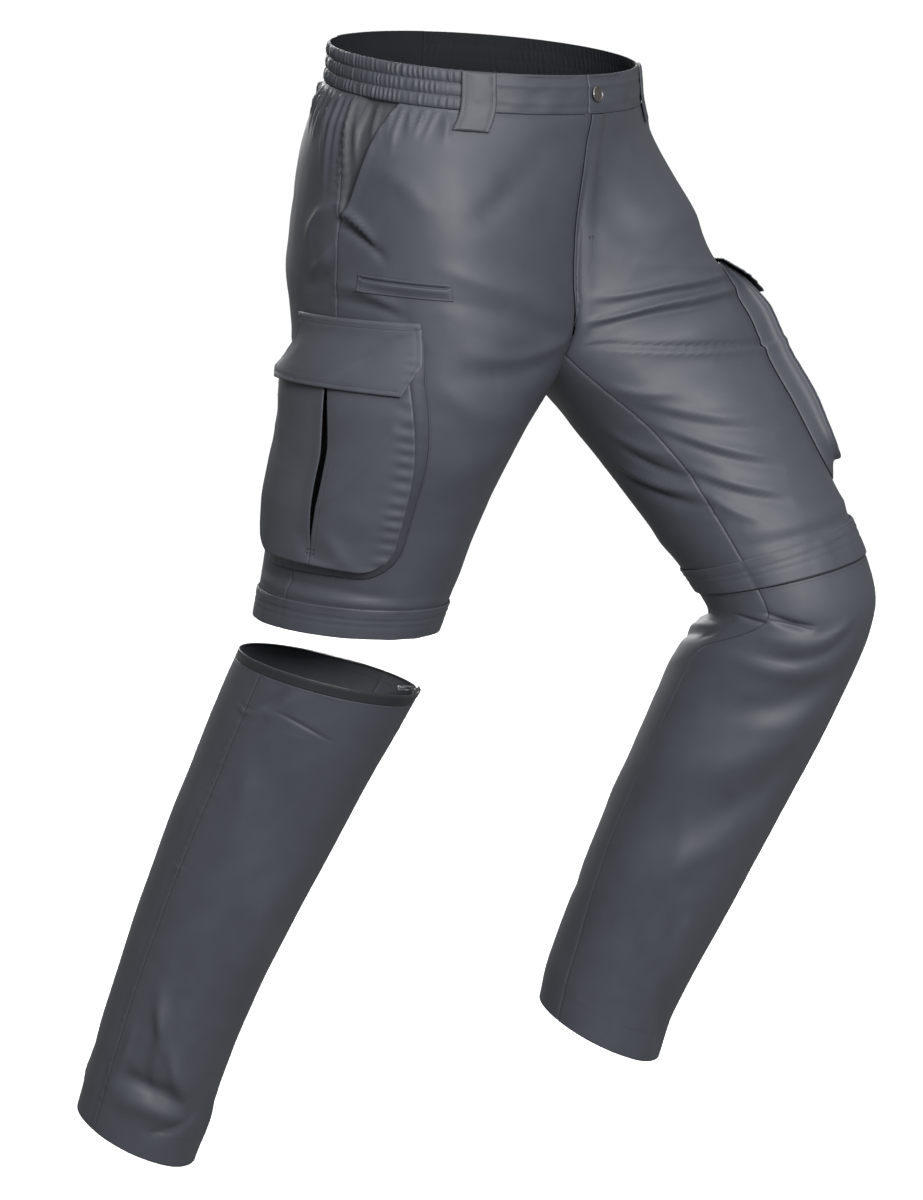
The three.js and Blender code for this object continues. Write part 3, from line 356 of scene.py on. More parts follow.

# Creases, listed one by one: start, end, sideways bow, half width, height; a sharp one has a trough beside it
CREASE_COLUMNS = "t0 a0 t1 a1 bow wide high"
CREASES = {
    "upper_right": table(
        CREASE_COLUMNS,
        (42, 0.10, 98, 0.215, 3, 17, -2.2),
        (150, 0.27, 206, 0.03, 6, 13, 1.8),
        (178, 0.28, 222, 0.05, 5, 11, -1.4),
        (236, 0.24, 232, 0.02, -5, 10, 1.8),
        (250, 0.27, 256, 0.05, -4, 12, -1.6),
        (100, 0.50, 128, 0.41, 4, 4.5, 4.2),
        (112, 0.50, 140, 0.39, 4, 5, -3.4),
        (128, 0.60, 96, 0.51, 5, 7, 2.6),
        (160, 0.58, 132, 0.51, -4, 7, 2.8),
        (236, 0.82, 276, 0.60, -8, 11, 2.2),
        (262, 0.84, 306, 0.60, -8, 10, -2.2),
        (318, 0.78, 352, 0.58, 6, 11, 1.8),
        (386, 0.84, 424, 0.60, 6, 12, -1.6),
        (176, 0.60, 152, 0.51, -3, 7, -2.0),
        (170, 0.50, 186, 0.37, 5, 6, 2.2),
        (184, 0.50, 196, 0.36, 4, 5, -1.8),
        (60, 0.40, 92, 0.30, 5, 12, 1.2),
        (262, 0.32, 300, 0.14, -10, 16, 0.9),
        (300, 0.30, 352, 0.14, -8, 18, -0.8),
        (360, 0.32, 330, 0.16, 6, 16, 0.8),
        (420, 0.30, 470, 0.12, 8, 16, 0.8),
        (466, 0.62, 478, 0.28, 4, 6, -1.6),
        (474, 0.60, 480, 0.20, -3, 5, 1.3),
        (240, 0.97, 300, 0.72, 8, 13, -3.0),
        (262, 0.96, 332, 0.70, 10, 13, 2.8),
        (290, 0.95, 366, 0.72, 9, 12, -2.4),
        (210, 0.95, 246, 0.70, -9, 15, 2.2),
        (330, 0.94, 410, 0.76, 6, 12, 1.8),
        (392, 0.95, 452, 0.74, -7, 13, -1.6),
        (118, 0.93, 176, 0.66, -12, 20, 1.6),
        (60, 0.90, 120, 0.72, 9, 16, -1.2),
    ),
    "lower_right": table(
        CREASE_COLUMNS,
        (545, 0.44, 557, 0.335, 1, 1.2, -0.8),
        (519, 0.44, 548, 0.47, 3, 6, -2.2),
        (524, 0.42, 560, 0.455, -3, 6, 1.6),
        (520, 0.19, 574, 0.165, 2, 3.5, 0.6),
        (519, 0.165, 560, 0.145, 2, 3, 0.4),
        (600, 0.46, 700, 0.42, 8, 14, 1.5),
        (600, 0.40, 740, 0.30, 10, 26, -2.2),
        (700, 0.32, 850, 0.20, -10, 26, 2.4),
        (862, 0.435, 944, 0.385, 6, 9, 3.4),
        (856, 0.43, 950, 0.295, -9, 11, 3.8),
        (884, 0.405, 934, 0.35, 0, 11, -2.6),
        (948, 0.475, 955, 0.275, 5, 10, -3.6),
        (970, 0.46, 968, 0.26, 5, 9, 2.4),
        (988, 0.36, 958, 0.25, -4, 7, -2.2),
        (900, 0.47, 970, 0.49, 4, 8, 2.0),
        (930, 0.24, 1000, 0.13, 6, 12, 1.6),
        (560, 0.93, 640, 0.70, 9, 14, 1.3),
        (600, 0.90, 690, 0.68, 9, 14, -1.2),
        (700, 0.92, 800, 0.66, -10, 18, 1.6),
        (860, 0.93, 930, 0.66, 9, 12, 1.5),
        (884, 0.90, 956, 0.62, 8, 10, -1.7),
        (930, 0.88, 984, 0.60, -7, 10, 1.5),
    ),
    "left": table(
        CREASE_COLUMNS,
        (256, 0.035, 322, 0.345, 9, 3.2, -3.2),
        (262, 0.045, 327, 0.35, 9, 4.5, 2.8),
        (214, 0.02, 253, 0.33, 6, 6.5, 3.8),
        (224, 0.03, 262, 0.32, 6, 6, -2.6),
        (60, 0.03, 150, 0.12, 6, 20, -2.6),
        (186, 0.03, 226, 0.30, 8, 7, 2.4),
        (196, 0.04, 238, 0.30, 8, 7, -2.0),
        (150, 0.08, 214, 0.33, 10, 11, 1.6),
        (316, 0.02, 378, 0.225, 10, 4.5, 1.2),
        (326, 0.02, 390, 0.21, 10, 4.5, -1.2),
        (342, 0.012, 412, 0.175, 8, 4.5, 1.7),
        (352, 0.01, 422, 0.17, 8, 4.5, -1.6),
        (386, 0.004, 440, 0.15, 6, 4.5, 1.6),
        (396, 0.004, 450, 0.15, 6, 4.5, -1.6),
        (300, 0.01, 322, 0.085, 4, 5, 1.8),
        (414, 0.004, 456, 0.08, 4, 6, 1.6),
        (352, 0.94, 396, 0.998, 4, 6, -2.8),
        (372, 0.90, 424, 0.992, 5, 6.5, -3.2),
        (362, 0.90, 410, 0.995, 4, 6, 2.4),
        (330, 0.94, 372, 0.996, 3, 8, 1.8),
        (462, 0.04, 470, 0.40, 6, 7, 1.2),
        (474, 0.02, 480, 0.40, 5, 5, -1.5),
        (540, 0.995, 556, 0.10, 3, 4, -2.2),
        (542, 0.94, 552, 0.998, 1, 2.0, -1.6),
        (548, 0.002, 560, 0.10, 1, 2.0, -1.6),
        (541, 0.94, 590, 0.89, 1, 2.0, -1.2),
        (566, 0.0, 552, 0.20, 12, 9, 2.2),
        (588, 0.0, 566, 0.20, 10, 8, -2.2),
        (598, 0.98, 572, 0.24, 10, 14, 2.6),
        (660, 0.955, 590, 0.24, 10, 22, -2.8),
        (745, 0.93, 618, 0.22, 10, 26, 2.6),
        (800, 0.97, 690, 0.20, 8, 26, -2.4),
        (660, 0.04, 620, 0.20, 8, 12, 1.8),
        (890, 0.95, 760, 0.16, -8, 24, 2.0),
        (740, 0.02, 930, 0.10, -6, 18, 1.8),
        (850, 0.14, 985, 0.23, 6, 16, 2.2),
        (920, 0.17, 1000, 0.27, 4, 12, -2.4),
        (560, 0.92, 620, 0.72, 8, 8, 1.4),
        (580, 0.90, 650, 0.68, 8, 8, -1.5),
        (548, 0.86, 566, 0.58, -6, 7, -1.8),
        (562, 0.86, 590, 0.56, -6, 7, 1.5),
        (620, 0.88, 700, 0.66, 8, 12, 0.7),
        (760, 0.86, 880, 0.66, 10, 18, 0.9),
        (880, 0.86, 960, 0.62, 8, 12, -1.0),
        (236, 0.97, 300, 0.74, -8, 12, 0.6),
        (262, 0.96, 340, 0.72, -8, 12, -0.6),
        (300, 0.86, 380, 0.66, -6, 12, 0.9),
        (110, 0.93, 180, 0.68, -10, 20, 1.6),
        (440, 0.92, 500, 0.60, 6, 12, 1.0),
        (100, 0.50, 132, 0.40, 4, 7, 1.8),
        (150, 0.58, 120, 0.51, -4, 7, 1.8),
        (168, 0.50, 190, 0.36, 4, 7, 1.6),
    ),
}


def ridge(off, wide):
    """The section of a crease: a narrow one has a sharp crest, a steep side and a gentle side."""
    away = np.sqrt(off**2 + CREST**2) - CREST
    sharp = np.exp(-away / (wide * np.where(off > 0, 0.85, 0.5)))
    return lerp(sharp, bell(off, wide), smooth(7, 12, wide))


def fold_height(leg, t, a):
    """The largest folds, as the source has them."""
    height = np.zeros(np.broadcast(t, a).shape)
    for t0, a0, t1, a1, wide, high in FOLDS[leg.name]:
        along_t, along_s = t1 - t0, (a1 - a0) * GIRTH
        from_t, from_s = t - t0, (a - a0) * GIRTH
        share = np.clip((from_t * along_t + from_s * along_s) / (along_t**2 + along_s**2), 0, 1)
        distance = np.hypot(from_t - along_t * share, from_s - along_s * share)
        height += high * np.sin(math.pi * np.clip(share, 0.08, 0.92)) * bell(distance, wide)
    return height


def crease_height(leg, t, a):
    """Every listed crease: a soft ridge or trough along a bowed line, uneven and fading at its ends."""
    height = np.zeros(np.broadcast(t, a).shape)
    rows = CREASES[leg.name]
    for k in range(len(rows["t0"])):
        t0, a0, t1, a1, bow, wide, high = (rows[name][k] for name in CREASE_COLUMNS.split())
        turns = -1 if a1 - a0 < -0.5 else (1 if a1 - a0 > 0.5 else 0)
        along_t, along_s = t1 - t0, (a1 - a0 - turns) * GIRTH
        length = math.hypot(along_t, along_s)
        for wrap in (-1, 0, 1):
            from_t, from_s = t - t0, (a + wrap - a0) * GIRTH
            share = (from_t * along_t + from_s * along_s) / length**2
            if t0 < CROTCH and wrap:
                continue
            off = (from_t * along_s - from_s * along_t) / length
            inside = np.clip(share, 0, 1)
            off = off - bow * np.sin(math.pi * inside)
            past = np.maximum(np.abs(share - 0.5) - 0.5, 0) * length
            taper = np.sin(math.pi * np.clip(inside * 0.9 + 0.05, 0, 1)) ** 0.8
            uneven = 1 + 0.25 * noise(3, inside * 3 + k, k)
            spread = wide * uneven
            height += high * taper * ridge(off, spread) * bell(past, wide)
    return height


# Gathers under the elastic: each a short fold that starts at the band
GATHER_FOLDS = np.random.default_rng(17)
GATHERS = [
    (a + GATHER_FOLDS.uniform(-0.006, 0.006), GATHER_FOLDS.uniform(18, 46) + 70 * float(bell(a - 0.53, 0.09)),
     GATHER_FOLDS.uniform(-0.035, 0.02), GATHER_FOLDS.uniform(2.6, 4.6), GATHER_FOLDS.uniform(2.0, 5.4))
    for a in np.arange(0.262, 0.86, 0.0205)
]


def gather_height(t, a):
    height = np.zeros(np.broadcast(t, a).shape)
    for start, length, drift, wide, high in GATHERS:
        line = start + drift * (t / length)
        down = smooth(0.5, 9, t) * (1 - smooth(0.25 * length, length, t))
        spread = wide * (1 + 0.7 * t / length)
        height += high * down * ridge((a - line) * GIRTH, spread)
    below_band = smooth(0.5, 12, t) * (1 - smooth(20, 70, t))
    below_elastic = smooth(0.24, 0.3, a) * (1 - smooth(0.82, 0.9, a))
    return height - 1.2 * below_band * below_elastic


def inseam_shift(leg, t):
    """Below the left knee the inseam runs nearer the back of the leg."""
    if leg is not WHOLE_LEFT:
        return 0 * t
    return -0.10 * smooth(540, 610, t) * (1 - 0.45 * smooth(800, 1000, t))


# Stretches of seam that pucker: side seams and inseams, with how strongly each does
PUCKERS = {
    "upper_right": [
        (SIDE_SEAM, 8, 215, 1.4), (SIDE_SEAM, 440, 503, 0.5),
        (0.0, 262, 500, 0.45), (1.0, 262, 500, 0.45),
    ],
    "lower_right": [
        (SIDE_SEAM, 520, 800, 1.5), (SIDE_SEAM, 800, 1010, 0.8),
        (0.0, 520, 1010, 0.4), (1.0, 520, 1010, 0.4),
    ],
    "left": [
        (SIDE_SEAM, 8, 215, 1.4), (SIDE_SEAM, 440, 800, 0.9), (SIDE_SEAM, 800, 1010, 0.7),
        (0.0, 285, 470, 1.1), (1.0, 285, 470, 1.1), (0.0, 560, 1010, 0.4), (1.0, 560, 1010, 0.4),
    ],
}


def from_seam(leg, t, a, line):
    """Distance round the leg from one of its seams."""
    shift = 0 if line == SIDE_SEAM else inseam_shift(leg, t)
    return np.abs(a - line - shift) * GIRTH


def pucker_height(leg, t, a):
    """Small ripples across a seam, and the shallow groove of the seam itself."""
    height = np.zeros(np.broadcast(t, a).shape)
    for line, top, foot, high in PUCKERS[leg.name]:
        away = from_seam(leg, t, a, line)
        wave = np.sin(2 * math.pi * t / 9.5 + 6.5 * noise(5, t / 27 + line * 7, line) + away / 7)
        uneven = np.maximum(0.45 + 0.75 * noise(6, t / 24 + line * 11, 2), 0)
        along = smooth(top, top + 25, t) * (1 - smooth(foot - 25, foot, t))
        height += high * along * uneven * wave * np.exp(-away / 7.5) * smooth(-2.5, 3.0, away)
    for line in (0.0, SIDE_SEAM, 1.0):
        height -= 0.7 * bell(from_seam(leg, t, a, line), 1.3)
    return height


def drape_height(leg, t, a):
    """Slow unevenness of the whole cloth."""
    layer = {"upper_right": 8, "lower_right": 11, "left": 14}[leg.name]
    slow = 0.8 * noise(layer, a * 7, t / 95, 7) + 0.3 * noise(layer + 1, a * 15, t / 44, 15)
    fine = 0.13 * noise(layer + 2, a * 36, t / 19, 36)
    crossed = 1 - np.abs(noise(layer + 2, a * 11 + t / 120, t / 34, 11))
    return slow + fine + 0.2 * crossed**4


def cloth_height(leg, t, a, seams):
    """Height of the cloth over its smooth form; calm along the centre seams, where the halves meet."""
    middle = np.minimum(a, 1 - a)
    calm = lerp(smooth(0.004, 0.035, middle), 1.0, smooth(CROTCH - 4, CROTCH + 30, t))
    at_band = smooth(0, 5, t)
    loose = CREASE_DEPTH * crease_height(leg, t, a) + drape_height(leg, t, a)
    if leg is not LOWER_RIGHT:
        loose = loose + gather_height(t, a)
    near_zip = 1 - 0.75 * bell(t - 500, 16) if leg is not LOWER_RIGHT else 1 - 0.8 * bell(t - 512, 12)
    height = fold_height(leg, t, a) + at_band * calm * near_zip * loose
    return height + at_band * pucker_height(leg, t, a) if seams else height


def half_surface(leg, t, a, lift, seams=True):
    out = lift + cloth_height(leg, t, a, seams)
    points = base_point(leg, t, a) + outward_normal(leg, t, a) * out[..., None]
    return clear_of_middle(leg, t, points)


def surface(leg, t, a, lift=0.0, seams=True):
    """Points of the cloth, moved out by a lift; below zero a they lie on the other half."""
    t, a, lift = alike(t, a, lift)
    if not (a < 0).any():
        return half_surface(leg, t, a, lift, seams)
    other = UPPER_RIGHT if leg is WHOLE_LEFT else WHOLE_LEFT
    own = half_surface(leg, t, np.maximum(a, 0), lift)
    over = half_surface(other, t, np.maximum(-a, 0), lift)
    return np.where((a < 0)[..., None], over, own)


def band_point(t, angle, lift):
    """Points of the waistband, moved out by a lift."""
    t, angle, lift = alike(t, angle, lift)
    around = body_point(t, angle + 0.01) - body_point(t, angle - 0.01)
    down = body_point(t + 2, angle) - body_point(t - 2, angle)
    return body_point(t, angle) + unit(np.cross(down, around)) * lift[..., None]


def in_scene(name, data):
    """A new object that shows in the scene."""
    made = bpy.data.objects.new(name, data)
    bpy.context.scene.collection.objects.link(made)
    return made


def new_mesh(name, points, faces, material, uvs=None, smooth_faces=True):
    """An object from points in millimetres."""
    mesh = bpy.data.meshes.new(name)
    mesh.from_pydata((np.asarray(points) * MM).tolist(), [], [list(map(int, f)) for f in faces])
    mesh.update()
    if smooth_faces:
        mesh.polygons.foreach_set("use_smooth", [True] * len(mesh.polygons))
    if uvs is not None:
        layer = mesh.uv_layers.new(name="cloth")
        corners = np.empty(len(mesh.loops), int)
        mesh.loops.foreach_get("vertex_index", corners)
        layer.data.foreach_set("uv", np.asarray(uvs, np.float32)[corners].ravel())
    mesh.materials.append(material)
    return in_scene(name, mesh)


def grid_area(points):
    """Area of a grid of points, in square metres."""
    across = points[1:, :-1] - points[:-1, :-1]
    along = points[:-1, 1:] - points[:-1, :-1]
    return float(np.linalg.norm(np.cross(across, along), axis=-1).sum()) * MM * MM


def grid_size(points):
    """The grid's greatest width and length, in metres."""
    width = np.linalg.norm(np.diff(points, axis=0), axis=-1).sum(axis=0).max()
    length = np.linalg.norm(np.diff(points, axis=1), axis=-1).sum(axis=1).max()
    return float(width) * MM, float(length) * MM


def shell(name, us, vs, place, material, uv, tube=False, reverse=None):
    """A closed wall of cloth over a grid. place(u, v, depth) gives its points, depth 0 outside, 1 inside."""
    u, v = np.meshgrid(us, vs, indexing="ij")
    outer, inner = place(u, v, 0.0), place(u, v, 1.0)
    count_u, count_v = u.shape
    points = np.concatenate([outer.reshape(-1, 3), inner.reshape(-1, 3)])
    index = np.arange(count_u * count_v).reshape(count_u, count_v)
    if tube:
        index = np.vstack([index, index[:1]])
    back = index + count_u * count_v
    quads = [np.stack([index[:-1, :-1], index[1:, :-1], index[1:, 1:], index[:-1, 1:]], -1).reshape(-1, 4)]
    quads.append(np.stack([back[:-1, :-1], back[:-1, 1:], back[1:, 1:], back[1:, :-1]], -1).reshape(-1, 4))
    quads.append(np.stack([index[1:, 0], index[:-1, 0], back[:-1, 0], back[1:, 0]], -1))
    quads.append(np.stack([index[:-1, -1], index[1:, -1], back[1:, -1], back[:-1, -1]], -1))
    if not tube:
        quads.append(np.stack([index[0, :-1], index[0, 1:], back[0, 1:], back[0, :-1]], -1))
        quads.append(np.stack([index[-1, 1:], index[-1, :-1], back[-1, :-1], back[-1, 1:]], -1))
    faces = np.concatenate(quads)
    a, b, c = points[faces[:, 0]], points[faces[:, 1]], points[faces[:, 2]]
    d = points[faces[:, 3]]
    volume = (np.cross(a, b) * c).sum() + (np.cross(a, c) * d).sum()
    if volume < 0:
        faces = faces[:, ::-1]
    flat_uv = uv(u, v).reshape(-1, 2) * MM
    piece = new_mesh(name, points, faces, material, np.concatenate([flat_uv, flat_uv]))
    # The inner wall can take a second material: the painted shade or painted light of the garment's inside
    if reverse is not None:
        sides = np.zeros(len(faces), int)
        sides[len(quads[0]):len(quads[0]) + len(quads[1])] = 1
        piece.data.materials.append(reverse)
        piece.data.polygons.foreach_set("material_index", sides)
    closed = np.vstack([outer, outer[:1]]) if tube else outer
    piece["grid_area"] = grid_area(closed)
    piece["grid_width"], piece["grid_length"] = grid_size(closed)
    return piece


def spaced(low, high, step, fine=(0.0, 0.45, 1.0, 1.8), extra=()):
    """Positions from low to high, about a step apart, closer at both ends and round extra places."""
    count = max(int(round((high - low) / step)), 1)
    places = list(np.linspace(low, high, count + 1))
    if high - low > 4 * fine[-1]:
        places += [low + f for f in fine] + [high - f for f in fine]
    for place in extra:
        places += [place + off for off in (-1.6, -0.8, 0.0, 0.8, 1.6) if low < place + off < high]
    places = sorted(places)
    kept = [places[0]]
    for place in places[1:]:
        if place - kept[-1] > 0.3:
            kept.append(place)
    kept[-1] = high
    return np.array(kept)


def edge_roll(distance, deep=0.5, wide=1.0):
    """How far the outer face turns in at a free or sewn edge."""
    near = np.clip(1 - distance / wide, 0, 1)
    return deep * (1 - np.sqrt(1 - near**2))


# Materials
class Paint:
    """A procedural material being built round one shader."""

    def __init__(self, name, **constants):
        self.material = bpy.data.materials.new(name)
        self.material.use_nodes = True
        self.shader = self.material.node_tree.nodes["Principled BSDF"]
        self.give(self.shader, constants)

    def give(self, node, values):
        """Sets inputs by name, with _ for a space: a socket is linked and a number is set."""
        for name, value in values.items():
            self.put(node.inputs[name.replace("_", " ")], value)

    def put(self, socket, value):
        if isinstance(value, bpy.types.NodeSocket):
            self.material.node_tree.links.new(value, socket)
        else:
            socket.default_value = value

    def node(self, kind, **values):
        made = self.material.node_tree.nodes.new(f"ShaderNode{kind}")
        self.give(made, values)
        return made

    def noise(self, place, scale, detail=2.0):
        return self.node("TexNoise", Vector=place, Scale=scale, Detail=detail).outputs["Fac"]

    def calculate(self, operation, *values):
        made = self.node("Math")
        made.operation = operation
        for socket, value in zip(made.inputs, values):
            self.put(socket, value)
        return made.outputs[0]

    def tone(self, share, low, high, at=(0.0, 1.0)):
        """The base colour: from low to high as the share passes between two places."""
        ramp = self.node("ValToRGB", Fac=share)
        for element, place, colour in zip(ramp.color_ramp.elements, at, (low, high)):
            element.position = place
            element.color = (*[min(c, 1) for c in colour], 1)
        self.give(self.shader, {"Base_Color": ramp.outputs["Color"]})

    def rough(self, share, low, high):
        spread = self.node("MapRange", Value=share, To_Min=low, To_Max=high)
        self.give(self.shader, {"Roughness": spread.outputs["Result"]})

    def relief(self, height, strength, distance):
        bump = self.node("Bump", Strength=strength, Distance=distance, Height=height)
        self.give(self.shader, {"Normal": bump.outputs["Normal"]})


def cloth_material(name, colour, roughness=0.56, weave=0.62, bump=0.25, gloss=0.3):
    """Plain-weave cloth: crossing threads, a soft mottle and slight wear, all from the cloth's own UV."""
    paint = Paint(name, Specular_IOR_Level=gloss)
    uv_map = paint.node("UVMap")
    uv_map.uv_map = "cloth"
    place = uv_map.outputs["UV"]
    threads, scale = [], 1000 / weave / 2 / math.pi
    for direction in ("X", "Y"):
        wave = paint.node("TexWave", Vector=place, Scale=scale, Distortion=0.6, Detail=1.0)
        wave.wave_type, wave.bands_direction = "BANDS", direction
        threads.append(wave.outputs["Fac"])
    mottle, heather = paint.noise(place, 38.0, 5.0), paint.noise(place, 900.0)
    blend = paint.calculate("MULTIPLY_ADD", heather, 0.5, paint.calculate("MULTIPLY", mottle, 0.5))
    paint.tone(blend, [c * 0.9 for c in colour], [c * 1.1 for c in colour], (0.3, 0.72))
    paint.rough(mottle, roughness - 0.05, roughness + 0.07)
    paint.relief(paint.calculate("MAXIMUM", *threads), bump, 0.00012)
    return paint.material


def thread_material(name, colour):
    """Sewing thread, with a twisted ply along it."""
    paint = Paint(name, Roughness=0.5, Specular_IOR_Level=0.4)
    ply = paint.noise(paint.node("TexCoord").outputs["Object"], 2500.0)
    paint.tone(ply, [c * 0.8 for c in colour], [c * 1.2 for c in colour])
    return paint.material


def metal_material(name, colour, roughness, metallic, wear=0.036):
    """Metal or enamel with fine rubbed marks."""
    paint = Paint(name, Metallic=metallic)
    rub = paint.noise(paint.node("TexCoord").outputs["Object"], 600.0, 6.0)
    paint.tone(rub, colour, [c + wear for c in colour], (0.35, 0.75))
    paint.rough(rub, roughness - 0.06, roughness + 0.1)
    paint.relief(rub, 0.1, 0.0001)
    return paint.material


CLOTH = cloth_material("grey_cloth", (0.032, 0.035, 0.043))
# Painted light: the cargo pockets' faces and flaps get this lighter copy of the cloth, for the light they
# catch
POCKET_PAINTED_LIGHT_CLOTH = cloth_material("pocket_cloth_painted_light", (0.038, 0.041, 0.050))
BAND_CLOTH = cloth_material("band_cloth", (0.028, 0.031, 0.038))
FACING_CLOTH = cloth_material("facing_cloth", (0.025, 0.027, 0.032))
TAPE_CLOTH = cloth_material("tape_cloth", (0.011, 0.012, 0.014), weave=0.9, bump=0.4)
# Painted shade: the garment's inside gets this far darker copy of the cloth, for the shade that falls inside
# it
INSIDE_PAINTED_SHADE = cloth_material("cloth_reverse_painted_shade", (0.010, 0.011, 0.013), roughness=0.85, gloss=0.06)
# Painted light: the detached leg's inside gets this lighter copy of the cloth, for the light that falls into
# it
LEG_INSIDE_PAINTED_LIGHT = cloth_material("leg_reverse_painted_light", (0.055, 0.058, 0.066), roughness=0.85, gloss=0.1)
THREAD = thread_material("thread", (0.020, 0.021, 0.025))
TEETH = thread_material("zip_coil", (0.022, 0.022, 0.025))
BUTTON_METAL = metal_material("button_metal", (0.15, 0.145, 0.14), 0.36, 1.0)
SLIDER_METAL = metal_material("slider_enamel", (0.018, 0.018, 0.020), 0.4, 0.3)
PULL_METAL = metal_material("pull_enamel", (0.022, 0.022, 0.025), 0.38, 0.3)
PULL_TIP_METAL = metal_material("pull_tip_metal", (0.45, 0.45, 0.46), 0.25, 1.0)


def keep(piece, slot, *nodes, body="root"):
    """The piece rides on its body and stands for the CAD nodes named."""
    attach(piece, body)
    if nodes:
        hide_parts(*nodes)
    return piece


def sheet(name, us, vs, place, uv, material=CLOTH, slot="fabric", held="draped", cut=1.02, **shape):
    """A cloth piece that stands for its node. Its flat size, that of its folded outer face times cut, is
    worked out here but not kept.
    """
    piece = shell(f"cloth_{name}", us, vs, place, material, uv, **shape)
    keep(piece, slot, name)
    area = piece["grid_area"] * cut
    width, length = piece["grid_width"] * cut, piece["grid_length"] * cut
    area = min(area, width * length)


def flat_uv(wide, tall=1.0):
    """A piece's own cloth coordinates, from the shares of its width and height."""
    return lambda u, v: np.stack([u * wide, v * tall], axis=-1)


def from_edges(u, v, wide, tall):
    """Distance from the nearest edge of an oblong piece."""
    return np.minimum(np.minimum(u, 1 - u) * wide, np.minimum(v, 1 - v) * tall)


def side_name(side):
    return "right" if side == RIGHT else "left"


# Panels
HAND_POCKET = {"top": 0.395, "end": 118.0, "under": 0.035, "below": 10.0, "deep": 4.5, "gape": 1.6}
INSET = 0.05 / GIRTH


def front_edge(t):
    share = np.clip(t / HAND_POCKET["end"], 0, 1)
    return lerp(HAND_POCKET["top"], SIDE_SEAM, share)


def fly_overlap(t):
    return FLY_OVERLAP / GIRTH * (1 - smooth(FLY_END, FLY_END + FLY_FADE, t))


def fly_lift(leg, t, a):
    """The left front lies on the right front along the fly and comes down to its own level beside it."""
    if leg is not WHOLE_LEFT:
        return np.zeros_like(a)
    ending = 1 - smooth(FLY_END + FLY_FADE, CROTCH - 8, t)
    return np.where(t > CROTCH, 0, FLY_STAND * LAYER * ending * (1 - smooth(0.012, 0.035, a)))


def upper_front(leg):
    is_left = leg is WHOLE_LEFT
    half = SIDE_SEAM * GIRTH
    shares = spaced(0, half, GRID) / half

    def across(u, t):
        start = np.where(t >= CROTCH, INSET, -fly_overlap(t) if is_left else 0.0)
        return start, start + (front_edge(t) - INSET - start) * u

    def place(u, t, depth):
        start, a = across(u, t)
        mouth = (front_edge(t) - a) * GIRTH
        roll = edge_roll(mouth, 0.8, 1.6) * (t < HAND_POCKET["end"])
        share = np.clip(t / HAND_POCKET["end"], 0, 1)
        roll = roll - HAND_POCKET["gape"] * np.sin(math.pi * share) ** 0.5 * (1 - smooth(0, 14, mouth))
        if is_left:
            roll = roll + edge_roll((a - start) * GIRTH, 0.8, 1.6) * (t < FLY_END + FLY_FADE)
        return surface(leg, t, a, fly_lift(leg, t, a) - roll * (1 - depth) - WALL * depth)

    def uv(u, t):
        _, a = across(u, t)
        return np.stack([a * GIRTH, t], axis=-1)

    name = f"upper_front_{side_name(leg.side)}"
    rows = spaced(SEAM_GAP, PANEL_END, GRID, extra=(FLAP_TOP,))
    sheet(name, shares, rows, place, uv, reverse=INSIDE_PAINTED_SHADE)


def plain_panel(leg, kind, level, low, high, extra=()):
    half = SIDE_SEAM * GIRTH
    above = level == "upper"
    grid = GRID if above else LOWER_GRID
    shares = spaced(0, half, grid) / half
    start = 0.0 if kind == "front" else SIDE_SEAM

    def across(u, t):
        shift = inseam_shift(leg, t)
        first = start + INSET + (shift if kind == "front" else 0)
        last = start + SIDE_SEAM - INSET + (shift if kind == "back" else 0)
        return first + (last - first) * u

    def place(u, t, depth):
        thick = WALL + (0.9 * smooth(HEM - HEM_TALL - 1, HEM - HEM_TALL + 1, t) if not above else 0)
        roll = edge_roll(high - t, 0.7, 1.4)
        return surface(leg, t, np.mod(across(u, t), 1.0), -roll * (1 - depth) - thick * depth)

    def uv(u, t):
        return np.stack([across(u, t) * GIRTH, t], axis=-1)

    name = f"{level}_{kind}_{side_name(leg.side)}"
    rows = spaced(low, high, grid, extra=extra)
    # The detached leg's inside gets painted light; every other inside gets painted shade
    sheet(name, shares, rows, place, uv, reverse=LEG_INSIDE_PAINTED_LIGHT if leg is LOWER_RIGHT else INSIDE_PAINTED_SHADE)


def pocket_facing(leg):
    def place(u, t, depth):
        start = front_edge(t) - HAND_POCKET["under"]
        a = start + (SIDE_SEAM - INSET - start) * u
        deep = HAND_POCKET["deep"] * smooth(0.0, 0.25, 1 - u) + 0.3
        return surface(leg, t, a, -deep - WALL * depth)

    def uv(u, t):
        start = front_edge(t) - HAND_POCKET["under"]
        return np.stack([(start + (SIDE_SEAM - start) * u) * GIRTH, t], axis=-1)

    name = f"pocket_facing_{side_name(leg.side)}"
    rows = spaced(SEAM_GAP, HAND_POCKET["end"] + HAND_POCKET["below"], GRID)
    wide = 88.0
    sheet(name, spaced(0, wide, GRID) / wide, rows, place, uv, FACING_CLOTH, "pocket_facing_fabric")


def leg_band(name, material, slot, leg, low, high, lift, extra=(), wall=WALL, ripple=0.0, reverse=None):
    """A tube of cloth round a leg, such as a zip's tape or the flap that covers it."""
    def place(u, t, depth):
        near = np.minimum(t - low, high - t)
        wave = ripple * noise(20, u * 40, t / 30, 40) * smooth(0, 6, t - low)
        lines = 0.9 * bell(t - low - 11, 1.3) + 0.7 * bell(t - low - 17, 1.5)
        pressed = ripple * (1.6 * edge_roll(t - low, 1.0, 4.0) + lines)
        fall = wave - edge_roll(near, 0.6, 1.2) * (1 - depth) - pressed * (1 - depth)
        return surface(leg, t, u, lift + fall - wall * depth)

    us = np.linspace(0, 1, 201)[:-1]
    rows = spaced(low, high, 1.6, extra=extra)
    sheet(name, us, rows, place, flat_uv(GIRTH), material, slot, tube=True, reverse=reverse)


